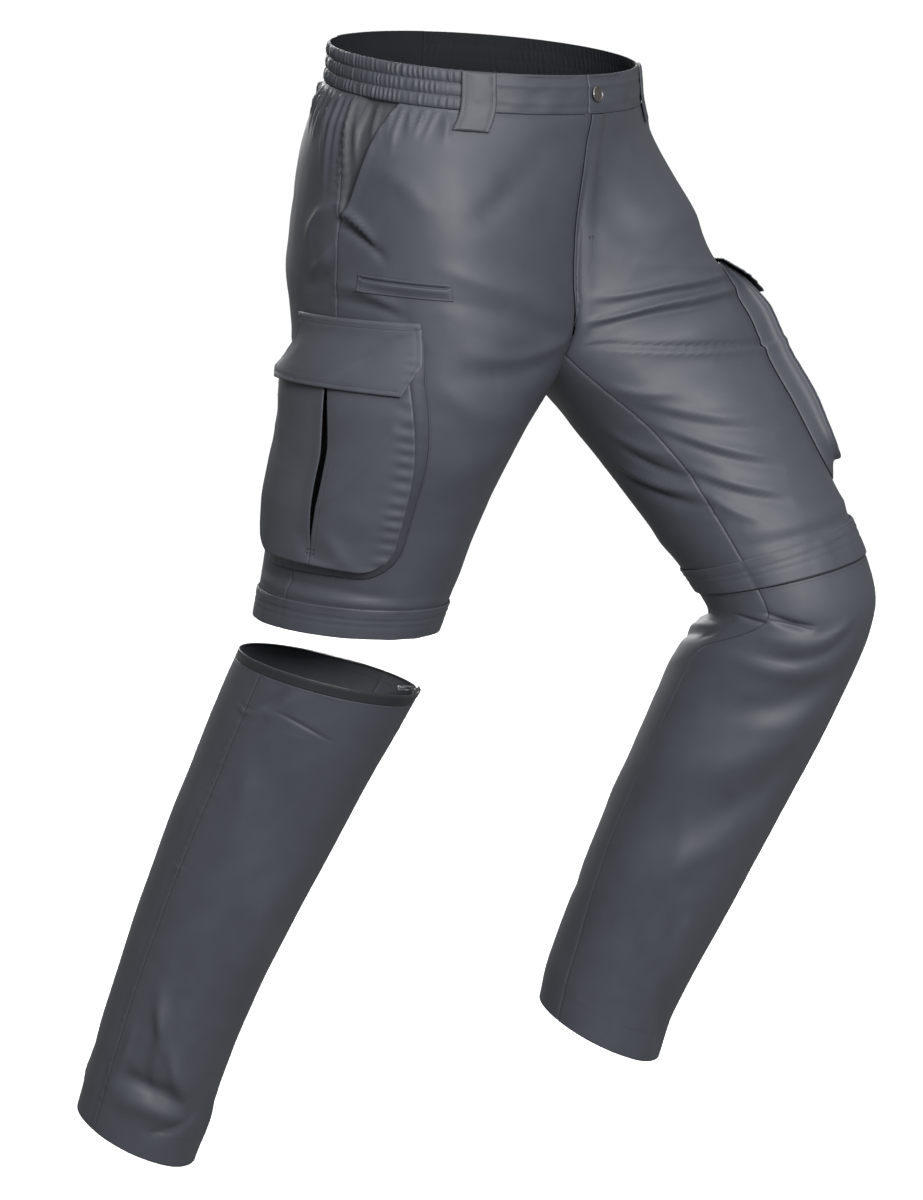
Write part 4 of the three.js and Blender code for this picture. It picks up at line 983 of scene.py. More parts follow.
# Waistband
BAND = {
    "out": 1.0, "in": -1.4, "lap": 8.0, "front_round": 130.0,
    "elastic_from": 46.0, "elastic_to": 160.0, "gathers": 52,
}
CHANNELS = 3
BAND_ROUND = 150.0


def band_piece(name, low, high):
    count = int(abs(high - low) * BAND_ROUND / 2.4)
    us = np.linspace(0, 1, count + 1)
    rows = spaced(-BAND_HEIGHT, 0, 1.6)

    def place(u, t, depth):
        angle = low + (high - low) * u
        near = np.minimum(t + BAND_HEIGHT, -t)
        swell = 0.8 * bell(t + 25, 2.2) + 0.6 * bell(t + 10, 2.6) + 0.7 * noise(21, angle * 9, t / 8)
        lift = BAND["out"] + swell * smooth(0, 4, near) - edge_roll(near, 0.7, 1.5)
        inner = BAND["in"] + 0.2 * noise(22, angle * 14, t / 20)
        return band_point(t, angle, lift if depth == 0 else inner)

    def uv(u, t):
        return np.stack([(low + (high - low) * u) * BAND_ROUND, t], axis=-1)

    sheet(name, us, rows, place, uv, BAND_CLOTH, "waistband_fabric", reverse=INSIDE_PAINTED_SHADE)


def elastic_side(side):
    gap = 0.05 / BAND_ROUND
    low = math.radians(BAND["elastic_from"]) + gap
    high = math.radians(BAND["elastic_to"]) - gap
    us = np.linspace(0, 1, 8 * BAND["gathers"] + 1)
    stitch_rows = [-BAND_HEIGHT * k / CHANNELS for k in range(1, CHANNELS)]
    rows = spaced(-BAND_HEIGHT, 0, 1.8, extra=stitch_rows)

    def gathers(u, t, shift):
        channel = (t + BAND_HEIGHT) / BAND_HEIGHT * CHANNELS
        which = np.clip(np.floor(channel), 0, CHANNELS - 1)
        middle = np.abs(np.sin(math.pi * channel)) ** 0.6
        drift = 3.0 * noise(18, u * 22, which * 3 + shift) + 0.9 * noise(19, u * 60, channel * 2 + shift)
        wave = np.cos(2 * math.pi * BAND["gathers"] * u + drift)
        uneven = 0.7 + 0.7 * noise(17, u * 50, which * 5 + shift)
        return middle, (1.25 * np.abs(np.cos(0.5 * np.arccos(np.clip(wave, -1, 1))))**3 - 0.5) * uneven

    def place(u, t, depth):
        angle = side * (low + (high - low) * u)
        near = np.minimum(t + BAND_HEIGHT, -t)
        middle, wave = gathers(u, t, 0 if depth == 0 else 7)
        if depth == 1:
            return band_point(t, angle, BAND["in"] - 0.5 * middle * (wave + 0.4))
        lift = BAND["out"] - 1.3 + 1.7 * middle + 1.05 * wave * middle**0.5 - edge_roll(near, 0.8, 1.8)
        return band_point(t, angle, lift)

    uv = flat_uv((high - low) * BAND_ROUND)
    sheet(f"waistband_elastic_{side_name(side)}", us, rows, place, uv, BAND_CLOTH, "waistband_fabric",
          held="gathered", cut=1.0, reverse=INSIDE_PAINTED_SHADE)


LOOP = {"top": -34.5, "end": 18.0, "wide": 32.0, "round": 148.0, "seat": 1.4, "stand": 0.5, "wall": 1.8}


def loop_lift(v):
    return LOOP["seat"] + LOOP["stand"] * np.sin(math.pi * v) ** 0.6


def belt_loop(name, angle):
    us = spaced(0, LOOP["wide"], 1.4) / LOOP["wide"]
    tall = LOOP["end"] - LOOP["top"]
    vs = spaced(0, tall, 1.3) / tall

    def place(u, v, depth):
        t = LOOP["top"] + tall * v
        across = (u - 0.5) * LOOP["wide"] / LOOP["round"]
        near = from_edges(u, v, LOOP["wide"], tall)
        bow = 0.5 * np.sin(math.pi * u) + 0.25 * noise(23, u * 4 + angle, v * 7)
        rows = 0.28 * bell(np.minimum(u, 1 - u) * LOOP["wide"] - 4, 1.1)
        outer = LOOP["wall"] + bow * smooth(0, 2, near) - rows - edge_roll(near, 0.9, 1.6)
        return band_point(t, angle + across, loop_lift(v) + outer * (1 - depth))

    sheet(name, us, vs, place, flat_uv(LOOP["wide"], tall), BAND_CLOTH, "waistband_fabric", cut=1.0)


# Welt pocket
WELT = {"back_a": 0.449, "front_a": 0.268, "back_t": 155.0, "front_t": 161.0, "tall": 17.0, "slit": 1.4}


def welt_place(u, v, lift):
    t = lerp(WELT["back_t"], WELT["front_t"], u) + WELT["tall"] * v
    return surface(UPPER_RIGHT, t, lerp(WELT["back_a"], WELT["front_a"], u), lift, seams=False)


def welt_pocket():
    wide = (WELT["back_a"] - WELT["front_a"]) * GIRTH
    us, vs = spaced(0, wide, 2.0) / wide, spaced(0, WELT["tall"], 0.6) / WELT["tall"]

    def place(u, v, depth):
        near = from_edges(u, v, wide, WELT["tall"])
        inside = smooth(0.02, 0.05, u) * (1 - smooth(0.95, 0.98, u))
        frame_edge = 0.9 * (1 - smooth(0.10, 0.20, v))
        slit = WELT["slit"] * bell((v - 0.25) * WELT["tall"], 0.9)
        lip = 2.4 * smooth(0.25, 0.36, v) * (1 - smooth(0.4, 0.85, v)) * np.sin(math.pi * u) ** 0.4
        groove = 0.35 * bell(near - 2.0, 0.8)
        stand = inside * (frame_edge + lip - slit) - groove
        return welt_place(u, v, SEWN_SEAT + stand + (WALL + 0.3 - edge_roll(near, 0.9, 1.4)) * (1 - depth))

    sheet("welt_pocket_right", us, vs, place, flat_uv(wide, WELT["tall"]), cut=1.0)


# Cargo pockets
CARGO = {"back_top": 0.62, "back_foot": 0.595, "front": 0.33, "wide": 172.0, "top": 207.0, "foot": 455.0}
CARGO_CORNER, CARGO_FACE_INSET = 36.0, 12.0
CARGO_PUCKER = {RIGHT: 1.0, LEFT: 0.15}
CARGO_STAND = {"top": 4.0, "belly": 20.0, "foot": 16.0, "back_share": 0.65, "front_share": 1.15}
CARGO_SLIT = {
    "top": 64.0, "foot": 92.0, "lip": -0.8, "back_lip": 1.4, "gape": 5.0, "from": 215.0, "to": 428.0,
}
CARGO_FLAP = {"top": 200.0, "foot": 272.0, "chamfer_tall": 30.0, "chamfer_wide": 20.0, "lift": 4.0}


def cargo_share(t):
    """How far down the pocket: 0 at its top, 1 at its foot."""
    return (t - CARGO["top"]) / (CARGO["foot"] - CARGO["top"])


def on_thigh(leg, forward, t, lift):
    """Millimetres forward of the pocket's back edge and down the leg, moved out by a lift."""
    back = lerp(CARGO["back_top"], CARGO["back_foot"], cargo_share(t))
    return surface(leg, t, lerp(back, CARGO["front"], forward / CARGO["wide"]), lift, seams=False)


def corner_inset(t, foot, corner):
    into = np.maximum(t - (foot - corner), 0)
    return corner - np.sqrt(np.maximum(corner**2 - into**2, 0))


def cargo_stand(forward, t):
    """How far the pocket's face stands off the thigh."""
    share = cargo_share(t)
    rise = smooth(0, 0.35, share) * (CARGO_STAND["belly"] - CARGO_STAND["top"])
    fall = smooth(0.7, 1, share) * (CARGO_STAND["belly"] - CARGO_STAND["foot"])
    ahead = lerp(CARGO_STAND["back_share"], CARGO_STAND["front_share"], forward / CARGO["wide"])
    return (CARGO_STAND["top"] + rise - fall) * ahead


def cargo_relief(leg, forward, t):
    """Creases of the pocket's face: a long diagonal one, soft dents and puckers at its front edge."""
    along = (t - 290) / 105
    fading = smooth(0, 0.12, along) * (1 - smooth(0.75, 1, along))
    diagonal = 1.9 * bell((forward - 150) + (t - 290) * 0.62, 5.5) * fading
    dent = -1.6 * bell((forward - 105) + (t - 290) * 0.62, 15) * bell(t - 340, 45)
    low = 1.8 * bell((forward - 118) - (t - 430) * 0.7, 9) * bell(t - 424, 18)
    low_dent = -1.6 * bell((forward - 92) - (t - 430) * 0.7, 10) * bell(t - 428, 18)
    edge = CARGO["wide"] - CARGO_FACE_INSET - forward
    ripple = np.sin(2 * math.pi * t / 12.5 + 1.6 * noise(4, t / 34, 1))
    uneven = 0.75 + 0.4 * noise(7, t / 24, 0)
    pucker = CARGO_PUCKER[leg.side] * ripple * bell(edge - 7, 8) * smooth(250, 300, t) * uneven
    back = 1.5 * bell(forward - 26 - (t - 300) * 0.1, 8) * bell(t - 300, 40)
    slow = 0.7 * noise(2, forward / 36 + 3, t / 42)
    return diagonal + dent + low + low_dent + pucker + back + slow


def slit_at(t):
    """How far forward the pocket's slit lies."""
    return lerp(CARGO_SLIT["top"], CARGO_SLIT["foot"], cargo_share(t))


def slit_gape(t):
    """How open the slit stands: widest a third of the way down, closed at both ends."""
    return smooth(CARGO_SLIT["from"], 330, t) * (1 - smooth(356, CARGO_SLIT["to"], t)) ** 0.7


def slit_lip(gape, near):
    """How the slit's front lip falls in, at a distance from it."""
    return (CARGO_SLIT["lip"] * gape + 0.1) * (1 - smooth(0, 14, near))


def cargo_face(name, leg, ahead):
    """One of the face's two pieces: the wide one ahead of the slit, or the narrow one behind it."""
    foot = CARGO["foot"] - CARGO_FACE_INSET
    corner = CARGO_CORNER - CARGO_FACE_INSET / 2
    last = foot - 0.2
    bend = np.sin(np.linspace(0, math.pi / 2, 16))
    straight = spaced(CARGO["top"], foot - corner, 2.2)[:-1]
    rows = np.concatenate([straight, foot - corner + (corner - 0.2) * bend])
    wide = 95.0 if ahead else 62.0
    shares = spaced(0, wide, 2.0) / wide

    def across(u, t):
        inset = CARGO_FACE_INSET + corner_inset(t, foot, corner)
        slit = slit_at(t)
        gape = CARGO_SLIT["gape"] * slit_gape(t)
        low = slit + 0.05 + gape if ahead else inset
        high = CARGO["wide"] - inset if ahead else slit - 0.05
        return low, high, low + (high - low) * u

    def place(u, t, depth):
        low, high, forward = across(u, t)
        gape = slit_gape(t)
        if ahead:
            near = forward - low
            edge = slit_lip(gape, near) - edge_roll(near, 0.9, 1.6) * (1 - depth)
        else:
            near = high - forward
            back_lip = CARGO_SLIT["back_lip"] * gape * (1 - smooth(0, 12, near))
            edge = back_lip - edge_roll(near, 0.3, 1.0) * (1 - depth)
        rim = np.minimum(high - forward if ahead else forward - low, last - t)
        roll = edge_roll(rim, 1.0, 2.0) * (1 - depth)
        relief = cargo_relief(leg, forward, t) * smooth(0, 8, last - t)
        return on_thigh(leg, forward, t, cargo_stand(forward, t) + relief + edge - roll + WALL * (1 - depth))

    def uv(u, t):
        return np.stack([across(u, t)[2], t], axis=-1)

    sheet(name, shares, rows, place, uv, POCKET_PAINTED_LIGHT_CLOTH, reverse=INSIDE_PAINTED_SHADE)


def cargo_outline(share, inset):
    """A line round the pocket, from the top of its back edge past the foot to the top of its front edge."""
    corner = CARGO_CORNER - inset / 2
    foot = CARGO["foot"] - inset
    side = foot - corner - CARGO["top"]
    bend = math.pi / 2 * corner
    width = CARGO["wide"] - 2 * inset
    across = width - 2 * corner
    along = share * (2 * side + 2 * bend + across)
    ends = [side, side + bend, side + bend + across, side + 2 * bend + across]
    stretches = [along <= end for end in ends]
    first = (along - ends[0]) / corner
    second = (along - ends[2]) / corner
    forward = np.select(
        stretches,
        [inset, inset + corner * (1 - np.cos(first)), inset + corner + along - ends[1],
         inset + width - corner * (1 - np.sin(second))],
        inset + width,
    )
    t = np.select(
        stretches,
        [CARGO["top"] + along, foot - corner * (1 - np.sin(first)), foot + 0 * along,
         foot - corner * (1 - np.cos(second))],
        foot - corner - (along - ends[3]),
    )
    return forward, t


def cargo_gusset(leg):
    us, vs = np.linspace(0, 1, 251), np.linspace(0, 1, 13)

    def place(u, v, depth):
        tuck = 3.4 * np.sin(math.pi * v) + 1.0 * np.sin(2 * math.pi * v)
        inset = CARGO_FACE_INSET * (1 - v) + tuck
        forward, t = cargo_outline(u, inset + WALL * depth)
        relief = cargo_relief(leg, forward, t) * smooth(0, 8, 437 - t) * (1 - v)
        top = cargo_stand(forward, t) + relief - SEAM_GAP
        wave = np.sin(2 * math.pi * u * 46 + 2 * noise(9, u * 20, v * 2))
        ripple = 0.3 * CARGO_PUCKER[leg.side] * wave * np.sin(math.pi * v)
        low = np.maximum(top - WALL * depth * 0.5, SEAT + WALL * (1 - depth))
        return on_thigh(leg, forward, t, lerp(low, SEWN_SEAT + WALL * (1 - depth), v**0.8) + ripple)

    sheet(f"cargo_gusset_{side_name(leg.side)}", us, vs, place, flat_uv(620, 30), held="folded", cut=1.1)


def flap_across(u, t):
    cut = np.maximum(t - (CARGO_FLAP["foot"] - CARGO_FLAP["chamfer_tall"]), 0)
    inset = cut * CARGO_FLAP["chamfer_wide"] / CARGO_FLAP["chamfer_tall"]
    return inset + (CARGO["wide"] - 2 * inset) * u


def flap_lift(forward, t, v):
    stand = cargo_stand(forward, np.maximum(t, CARGO["top"]))
    seat = stand * smooth(CARGO_FLAP["top"] - 6, CARGO["top"], t)
    wave = 1.2 * np.sin(forward / 27 + 0.6) * v**2 + 0.8 * noise(1, forward / 30, t / 30) * smooth(0, 0.3, v)
    fading = smooth(0.05, 0.3, v) * (1 - smooth(0.55, 0.9, v))
    dip = -1.6 * bell(forward - (150 - (t - 215) * 1.5), 9) * fading
    pucker = 0.5 * np.sin(t / 1.5) * bell(CARGO["wide"] - forward - 8, 8) * smooth(0.35, 0.6, v)
    return seat + LAYER + SEWN_SEAT + CARGO_FLAP["lift"] * v + wave + dip + pucker


def cargo_flap(leg):
    tall = CARGO_FLAP["foot"] - CARGO_FLAP["top"]
    us, vs = spaced(0, CARGO["wide"], 2.0) / CARGO["wide"], spaced(0, tall, 1.8, extra=(5.0,)) / tall

    def place(u, v, depth):
        t = CARGO_FLAP["top"] + tall * v
        forward = flap_across(u, t)
        near = from_edges(u, v, CARGO["wide"], tall)
        groove = 0.55 * bell(near - 5.0, 1.0) + 0.8 * bell(v * tall - 7, 1.4)
        lift = flap_lift(forward, t, v) + (WALL - groove - edge_roll(near, 1.0, 1.8)) * (1 - depth)
        return on_thigh(leg, forward, t, lift)

    sheet(f"cargo_flap_{side_name(leg.side)}", us, vs, place, flat_uv(CARGO["wide"], tall), POCKET_PAINTED_LIGHT_CLOTH)


# Sewing
STITCH = {"long": 2.5, "pitch": 3.3, "thick": 0.42, "proud": 0.12, "sides": 4}


def lengths_along(points):
    """How far along their line the points lie."""
    steps = np.linalg.norm(np.diff(points, axis=0), axis=1)
    return np.concatenate([[0], np.cumsum(steps)])


def at_lengths(where, along, values):
    """Values between the points of a line, at distances along it."""
    return np.stack([np.interp(where, along, values[:, k]) for k in range(3)], -1)


def stitch_row(points, outward):
    """Small rounded stitches along a line of points; gives points and faces."""
    pitch = STITCH["pitch"]
    along = lengths_along(points)
    count = int(along[-1] // pitch)
    if count < 1:
        return np.zeros((0, 3)), np.zeros((0, 4), int)
    starts = np.arange(count) * pitch + (along[-1] - count * pitch) / 2
    rings = np.array([0.0, 0.5, 1.0])
    radius = STITCH["thick"] / 2 * np.array([0.45, 1.0, 0.45])
    sink = np.array([-0.24, 0.06, -0.24])
    where = starts[:, None] + rings[None] * STITCH["long"]
    centre = at_lengths(where, along, points)
    normal = unit(at_lengths(where, along, outward))
    heading = unit(centre[:, -1:] - centre[:, :1])
    across = unit(np.cross(normal, heading))
    centre = centre + normal * sink[None, :, None]
    sides = STITCH["sides"]
    turn = np.arange(sides) * 2 * math.pi / sides
    ring = (across[:, :, None] * np.cos(turn)[None, None, :, None]
            + normal[:, :, None] * np.sin(turn)[None, None, :, None])
    vertices = centre[:, :, None] + ring * radius[None, :, None, None]
    index = np.arange(count * len(rings) * sides).reshape(count, len(rings), sides)
    turned = np.roll(index, -1, axis=2)
    quads = np.stack([index[:, :-1], turned[:, :-1], turned[:, 1:], index[:, 1:]], -1).reshape(-1, 4)
    return vertices.reshape(-1, 3), (quads, index[:, 0], index[:, -1, ::-1])


def sew(name, rows, slot="fabric"):
    """One piece of sewing from several rows; each row is (points, outward)."""
    points, faces, base = [], [], 0
    for line, outward in rows:
        made, found = stitch_row(line, outward)
        if not len(made):
            continue
        quads, first, last = found
        points.append(made)
        faces += (quads + base).tolist() + (first + base).tolist() + (last + base).tolist()
        base += len(made)
    keep(new_mesh(name, np.concatenate(points), faces, THREAD), slot)


def cloth_line(leg, t, a, lift):
    """A row's points and outward directions on the cloth."""
    t, a = alike(t, a)
    return surface(leg, t, a, lift), outward_normal(leg, t, np.clip(a, 0, 1))


def along_leg(leg, a, low, high, lift):
    t = np.arange(low, high, 2.0)
    shift = inseam_shift(leg, t) if a > 0.9 else 0
    return cloth_line(leg, t, np.full_like(t, a) + shift, lift)


def round_leg(leg, t, low, high, lift):
    a = np.linspace(low, high, 260)
    return cloth_line(leg, np.full_like(a, t), a, lift)


def lifted_row(place, lift):
    """A row's points and outward directions, on a surface that place(lift) gives."""
    points = place(lift)
    return points, unit(place(lift + 1.0) - points)


def thigh_line(leg, forward, t, lift):
    return lifted_row(lambda out: on_thigh(leg, forward, t, out), lift)


def band_line(angle, t, lift):
    return lifted_row(lambda out: band_point(t, angle, out), lift)


def welt_line(u, v, lift):
    return lifted_row(lambda out: welt_place(u, v, out), lift)


PROUD = STITCH["proud"]


def seam_sewing(leg, low, high):
    """Topstitching beside the side seam, and the flatter seams inside the leg."""
    rows = []
    side = 3.0 / GIRTH
    rows.append(along_leg(leg, SIDE_SEAM + side, max(low, 3), high, PROUD))
    rows.append(along_leg(leg, SIDE_SEAM + 2.6 * side, max(low, 3), high, PROUD))
    if low < 200:
        rows.append(along_leg(leg, 1 - side, 4, CROTCH - 4, PROUD))
    rows.append(along_leg(leg, 1 - side, max(low, CROTCH + 4), high, PROUD))
    return rows


def front_sewing(leg):
    """Rows along the hand pocket's mouth, and the bar tacks at its ends."""
    t = np.arange(3.0, HAND_POCKET["end"], 2.0)
    rows = [cloth_line(leg, t, front_edge(t) - off / GIRTH, PROUD) for off in (3.0, 8.5)]
    top_tack, foot_tack = 12.0, 104.0
    drop = front_edge(foot_tack) - front_edge(top_tack)
    for off in (0.0, 1.1, 2.2):
        a = np.linspace(front_edge(top_tack) - 9 / GIRTH, front_edge(top_tack) - 1 / GIRTH, 8)
        rows.append(cloth_line(leg, np.full_like(a, top_tack + off), a, PROUD + 0.15))
        rows.append(cloth_line(leg, np.full_like(a, foot_tack + off), a + drop, PROUD + 0.15))
    return rows


def fly_sewing():
    """The fly's curved row, its edge row and its bar tacks."""
    wide, straight, curve = FLY_ROW["wide"] / GIRTH, FLY_ROW["straight"], FLY_ROW["curve"]
    bend = straight + curve * np.sin(np.linspace(0, math.pi / 2, 16))
    t = np.concatenate([np.arange(2.0, straight, 2.0), bend])
    turn = np.clip((t - straight) / curve, 0, 1)
    a = -FLY_OVERLAP / GIRTH + wide * np.sqrt(np.maximum(1 - turn**2, 0)) + 0.0008
    rows = [cloth_line(WHOLE_LEFT, t, a, fly_lift(WHOLE_LEFT, t, a) + PROUD)]
    t = np.arange(FLY_END + 8, CROTCH - 6, 2.0)
    a = -fly_overlap(t) + 2.4 / GIRTH
    rows.append(cloth_line(WHOLE_LEFT, t, a, fly_lift(WHOLE_LEFT, t, a) + PROUD))
    for top, place in ((160.0, 0.0), (FLY_END, 0.0), (120.0, wide - 6.5 / GIRTH)):
        for off in (0.0, 0.7, 1.4, 2.1):
            a = np.linspace(place - 5 / GIRTH, place + 3 / GIRTH, 6)
            t = np.full_like(a, top + off)
            rows.append(cloth_line(WHOLE_LEFT, t, a, fly_lift(WHOLE_LEFT, t, a) + PROUD + 0.1))
    return rows


def face_line(leg, forward, t, proud):
    """A row on the outside of the pocket's face."""
    lift = cargo_stand(forward, t) + cargo_relief(leg, forward, t) + WALL
    return thigh_line(leg, forward, t, lift + proud)


def flap_line(leg, u, t):
    """A row on the outside of the pocket's flap."""
    forward = flap_across(u, t)
    v = (t - CARGO_FLAP["top"]) / (CARGO_FLAP["foot"] - CARGO_FLAP["top"])
    return thigh_line(leg, forward, t, flap_lift(forward, t, v) + WALL - 0.1)


def cargo_sewing(leg):
    rows = []
    # Round the flap, a little way in, and along its top
    edge = 5.0
    t_side = np.arange(CARGO_FLAP["top"] + 2, CARGO_FLAP["foot"] - edge, 2.0)
    for share in (edge / CARGO["wide"], 1 - edge / CARGO["wide"]):
        rows.append(flap_line(leg, np.full_like(t_side, share), t_side))
    for t_row in (CARGO_FLAP["foot"] - edge, CARGO_FLAP["top"] + 2.0, CARGO_FLAP["top"] + 7.5):
        u = np.linspace(edge / CARGO["wide"], 1 - edge / CARGO["wide"], 90)
        rows.append(flap_line(leg, u, np.full_like(u, t_row)))
    # Beside the slit, and the bar tacks at its lower end
    t = np.arange(CARGO["top"] + 60, 438.0, 2.0)
    lip = slit_lip(slit_gape(t), edge)
    rows.append(face_line(leg, slit_at(t) + edge + CARGO_SLIT["gape"] * slit_gape(t), t, PROUD + lip))
    for t_tack in (CARGO_SLIT["to"] - 2, CARGO_SLIT["to"] + 2):
        for off in (0.0, 0.8, 1.6):
            forward = slit_at(t_tack) + np.linspace(-3.5, 6.5, 8)
            rows.append(face_line(leg, forward, np.full_like(forward, t_tack + off), 0.3))
    # Along the face's front, foot and back edges
    share = np.linspace(0.02, 0.98, 240)
    forward, t = cargo_outline(share, CARGO_FACE_INSET + 2.6)
    ok = (t > CARGO["top"] + 66) & (t < 432)
    middle = CARGO["wide"] / 2
    for part in (ok & (forward > middle), ok & (forward < middle)):
        rows.append(face_line(leg, forward[part], t[part], -0.05))
    # Where the gusset is sewn to the thigh
    forward, t = cargo_outline(share, -1.8)
    rows.append(thigh_line(leg, forward, t, PROUD))
    return rows


def band_sewing():
    """Rows along both edges of the band's three plain stretches."""
    rows = []
    for low, high in ((-44.5, -4.0), (-2.0, 44.5), (161.5, 198.5)):
        angle = np.linspace(math.radians(low), math.radians(high), 90)
        for t in (-BAND_HEIGHT + 2.2, -2.4):
            rows.append(band_line(angle, np.full_like(angle, t), BAND["out"] + 0.05))
    return rows


def elastic_sewing():
    rows = []
    for side in (RIGHT, LEFT):
        angle = side * np.radians(np.linspace(BAND["elastic_from"] + 0.5, BAND["elastic_to"] - 0.5, 260))
        for k in range(1, CHANNELS):
            rows.append(band_line(angle, np.full_like(angle, -BAND_HEIGHT * k / CHANNELS), BAND["out"] - 1.0))
    return rows


def loop_sewing(angles):
    rows = []
    for angle in angles:
        for off in (-12.0, 12.0):
            v = np.linspace(0.04, 0.96, 30)
            t = LOOP["top"] + (LOOP["end"] - LOOP["top"]) * v
            lift = loop_lift(v) + LOOP["wall"] + 0.16
            rows.append(band_line(np.full_like(v, angle + off / LOOP["round"]), t, lift))
        for v_row in (0.035, 0.06, 0.94, 0.965):
            across = np.linspace(-13, 13, 20) / LOOP["round"]
            v = np.full_like(across, v_row)
            t = LOOP["top"] + (LOOP["end"] - LOOP["top"]) * v
            rows.append(band_line(angle + across, t, loop_lift(v) + LOOP["wall"] - 0.05))
    return rows


def welt_sewing():
    """A row down each end of the welt, and one along its foot."""
    wide = (WELT["back_a"] - WELT["front_a"]) * GIRTH
    lift = SEWN_SEAT + WALL
    v = np.linspace(0.06, 0.94, 12)
    rows = [welt_line(np.full_like(v, share), v, lift) for share in (1.8 / wide, 1 - 1.8 / wide)]
    u = np.linspace(0.015, 0.985, 70)
    return rows + [welt_line(u, np.full_like(u, 0.9), lift)]


def zip_sewing(leg, flap=True, hem=True):
    rows = []
    if flap:
        rows.append(round_leg(leg, FLAP_TOP + 2.2, 0.001, 0.999, FLAP_SEAT + WALL))
        rows.append(round_leg(leg, FLAP_TOP + 8.0, 0.001, 0.999, FLAP_SEAT + WALL + PROUD))
    if hem:
        rows.append(round_leg(leg, HEM - HEM_TALL, 0.001, 0.999, PROUD))
        rows.append(round_leg(leg, LOWER_TOP + 2.5, 0.001, 0.999, PROUD))
    return rows


# Zip coils along the tapes: each tooth's section, up the leg and out of the cloth, and its half length
COIL_PITCH, COIL_HALF = 1.45, 0.42
COIL_SECTION = [(-1.5, -0.75), (-1.5, 0.75), (0.9, 0.95), (1.5, 0.45), (1.5, -0.45), (0.9, -0.95)]


def zip_coil(name, leg, t, lift):
    """Teeth at an even pitch round the leg, in one mesh."""
    a = np.linspace(0, 1, 700)
    points, outward = cloth_line(leg, np.full_like(a, t), a, lift)
    up = unit(surface(leg, np.full_like(a, t - 1), a, lift) - surface(leg, np.full_like(a, t + 1), a, lift))
    along = lengths_along(points)
    count = int(along[-1] // COIL_PITCH)
    where = np.arange(count) * along[-1] / count
    centre = at_lengths(where, along, points)
    out, rise = unit(at_lengths(where, along, outward)), unit(at_lengths(where, along, up))
    forward = unit(np.cross(out, rise))
    corners, faces = [], []
    for end in (-COIL_HALF, COIL_HALF):
        for up_off, out_off in COIL_SECTION:
            corners.append(centre + rise * up_off + out * out_off + forward * end)
    corners = np.stack(corners, axis=1)
    n = len(COIL_SECTION)
    for k in range(count):
        base = k * 2 * n
        faces.append([base + i for i in range(n)])
        faces.append([base + n + i for i in reversed(range(n))])
        for i in range(n):
            j = (i + 1) % n
            faces.append([base + j, base + i, base + n + i, base + n + j])
    keep(new_mesh(name, corners.reshape(-1, 3), faces, TEETH, smooth_faces=False), "zip_tape")


# Metal parts
def lathe(name, profile, place, outward, material, sides=48):
    """A solid turned about an axis that points out of the cloth."""
    axis = outward / np.linalg.norm(outward)
    first = unit(np.cross(axis, [0.0, 0.0, 1.0]))
    second = np.cross(axis, first)
    points, faces = [place + axis * profile[0][1]], []
    for radius, high in profile[1:-1]:
        for k in range(sides):
            turn = 2 * math.pi * k / sides
            points.append(place + axis * high + (first * math.cos(turn) + second * math.sin(turn)) * radius)
    points.append(place + axis * profile[-1][1])
    rings = len(profile) - 2

    def ring(i, k):
        return 1 + i * sides + k % sides

    for k in range(sides):
        faces.append([0, ring(0, k + 1), ring(0, k)])
        faces.append([len(points) - 1, ring(rings - 1, k), ring(rings - 1, k + 1)])
        for i in range(rings - 1):
            faces.append([ring(i, k), ring(i, k + 1), ring(i + 1, k + 1), ring(i + 1, k)])
    return new_mesh(name, np.array(points), faces, material)


BUTTON = {"t": -BAND_HEIGHT / 2, "angle": 0.5}
BUTTON_PROFILE = [
    (0, 0), (2.9, 0), (2.9, 0.75), (6.6, 0.85), (7.2, 1.05), (7.45, 1.5),
    (7.3, 2.0), (6.9, 2.35), (6.3, 2.45), (5.9, 2.3), (5.5, 1.9), (5.2, 1.78),
    (4.2, 1.86), (2.8, 2.2), (1.7, 2.5), (1.2, 2.44), (0.7, 2.3), (0, 2.26),
]


def button():
    angle = math.radians(BUTTON["angle"])
    seat = band_point(BUTTON["t"], angle, BAND["out"] + SEAM_GAP)
    above = band_point(BUTTON["t"], angle, BAND["out"] + SEAM_GAP + 1)
    piece = lathe("metal_button", BUTTON_PROFILE, seat, above - seat, BUTTON_METAL)
    keep(piece, "button_metal", "button")


def bevelled(node, name, material, slot, body, width=0.25):
    """A finer copy of a small metal node, with softened edges."""
    source = frame["nodes"][node]
    mesh = source.data.copy()
    mesh.name = name
    mesh.materials.clear()
    mesh.materials.append(material)
    piece = in_scene(name, mesh)
    weld = piece.modifiers.new("weld", "WELD")
    weld.merge_threshold = 0.00001
    soft = piece.modifiers.new("soft_edges", "BEVEL")
    soft.width, soft.segments, soft.limit_method = width * MM, 3, "ANGLE"
    soft.angle_limit = math.radians(35)
    depsgraph = bpy.context.evaluated_depsgraph_get()
    made = bpy.data.meshes.new_from_object(piece.evaluated_get(depsgraph))
    piece.modifiers.clear()
    piece.data = made
    return keep(piece, slot, node, body=body)


# The share of the tab's reach from which it is bare metal
PULL_TIP_FROM = 0.62


def pull_tab():
    """The pull tab, with its bare far end."""
    piece = bevelled("pull_tab", "metal_pull_tab", PULL_METAL, "pull_metal", "pull_tab", 0.22)
    piece.data.materials.append(PULL_TIP_METAL)
    anchor = Vector(next(j for j in frame["joints"] if j["name"] == "pull_tab_hinge")["pos_m"])
    reach = max((v.co - anchor).length for v in piece.data.vertices)
    for polygon in piece.data.polygons:
        if (polygon.center - anchor).length > PULL_TIP_FROM * reach:
            polygon.material_index = 1


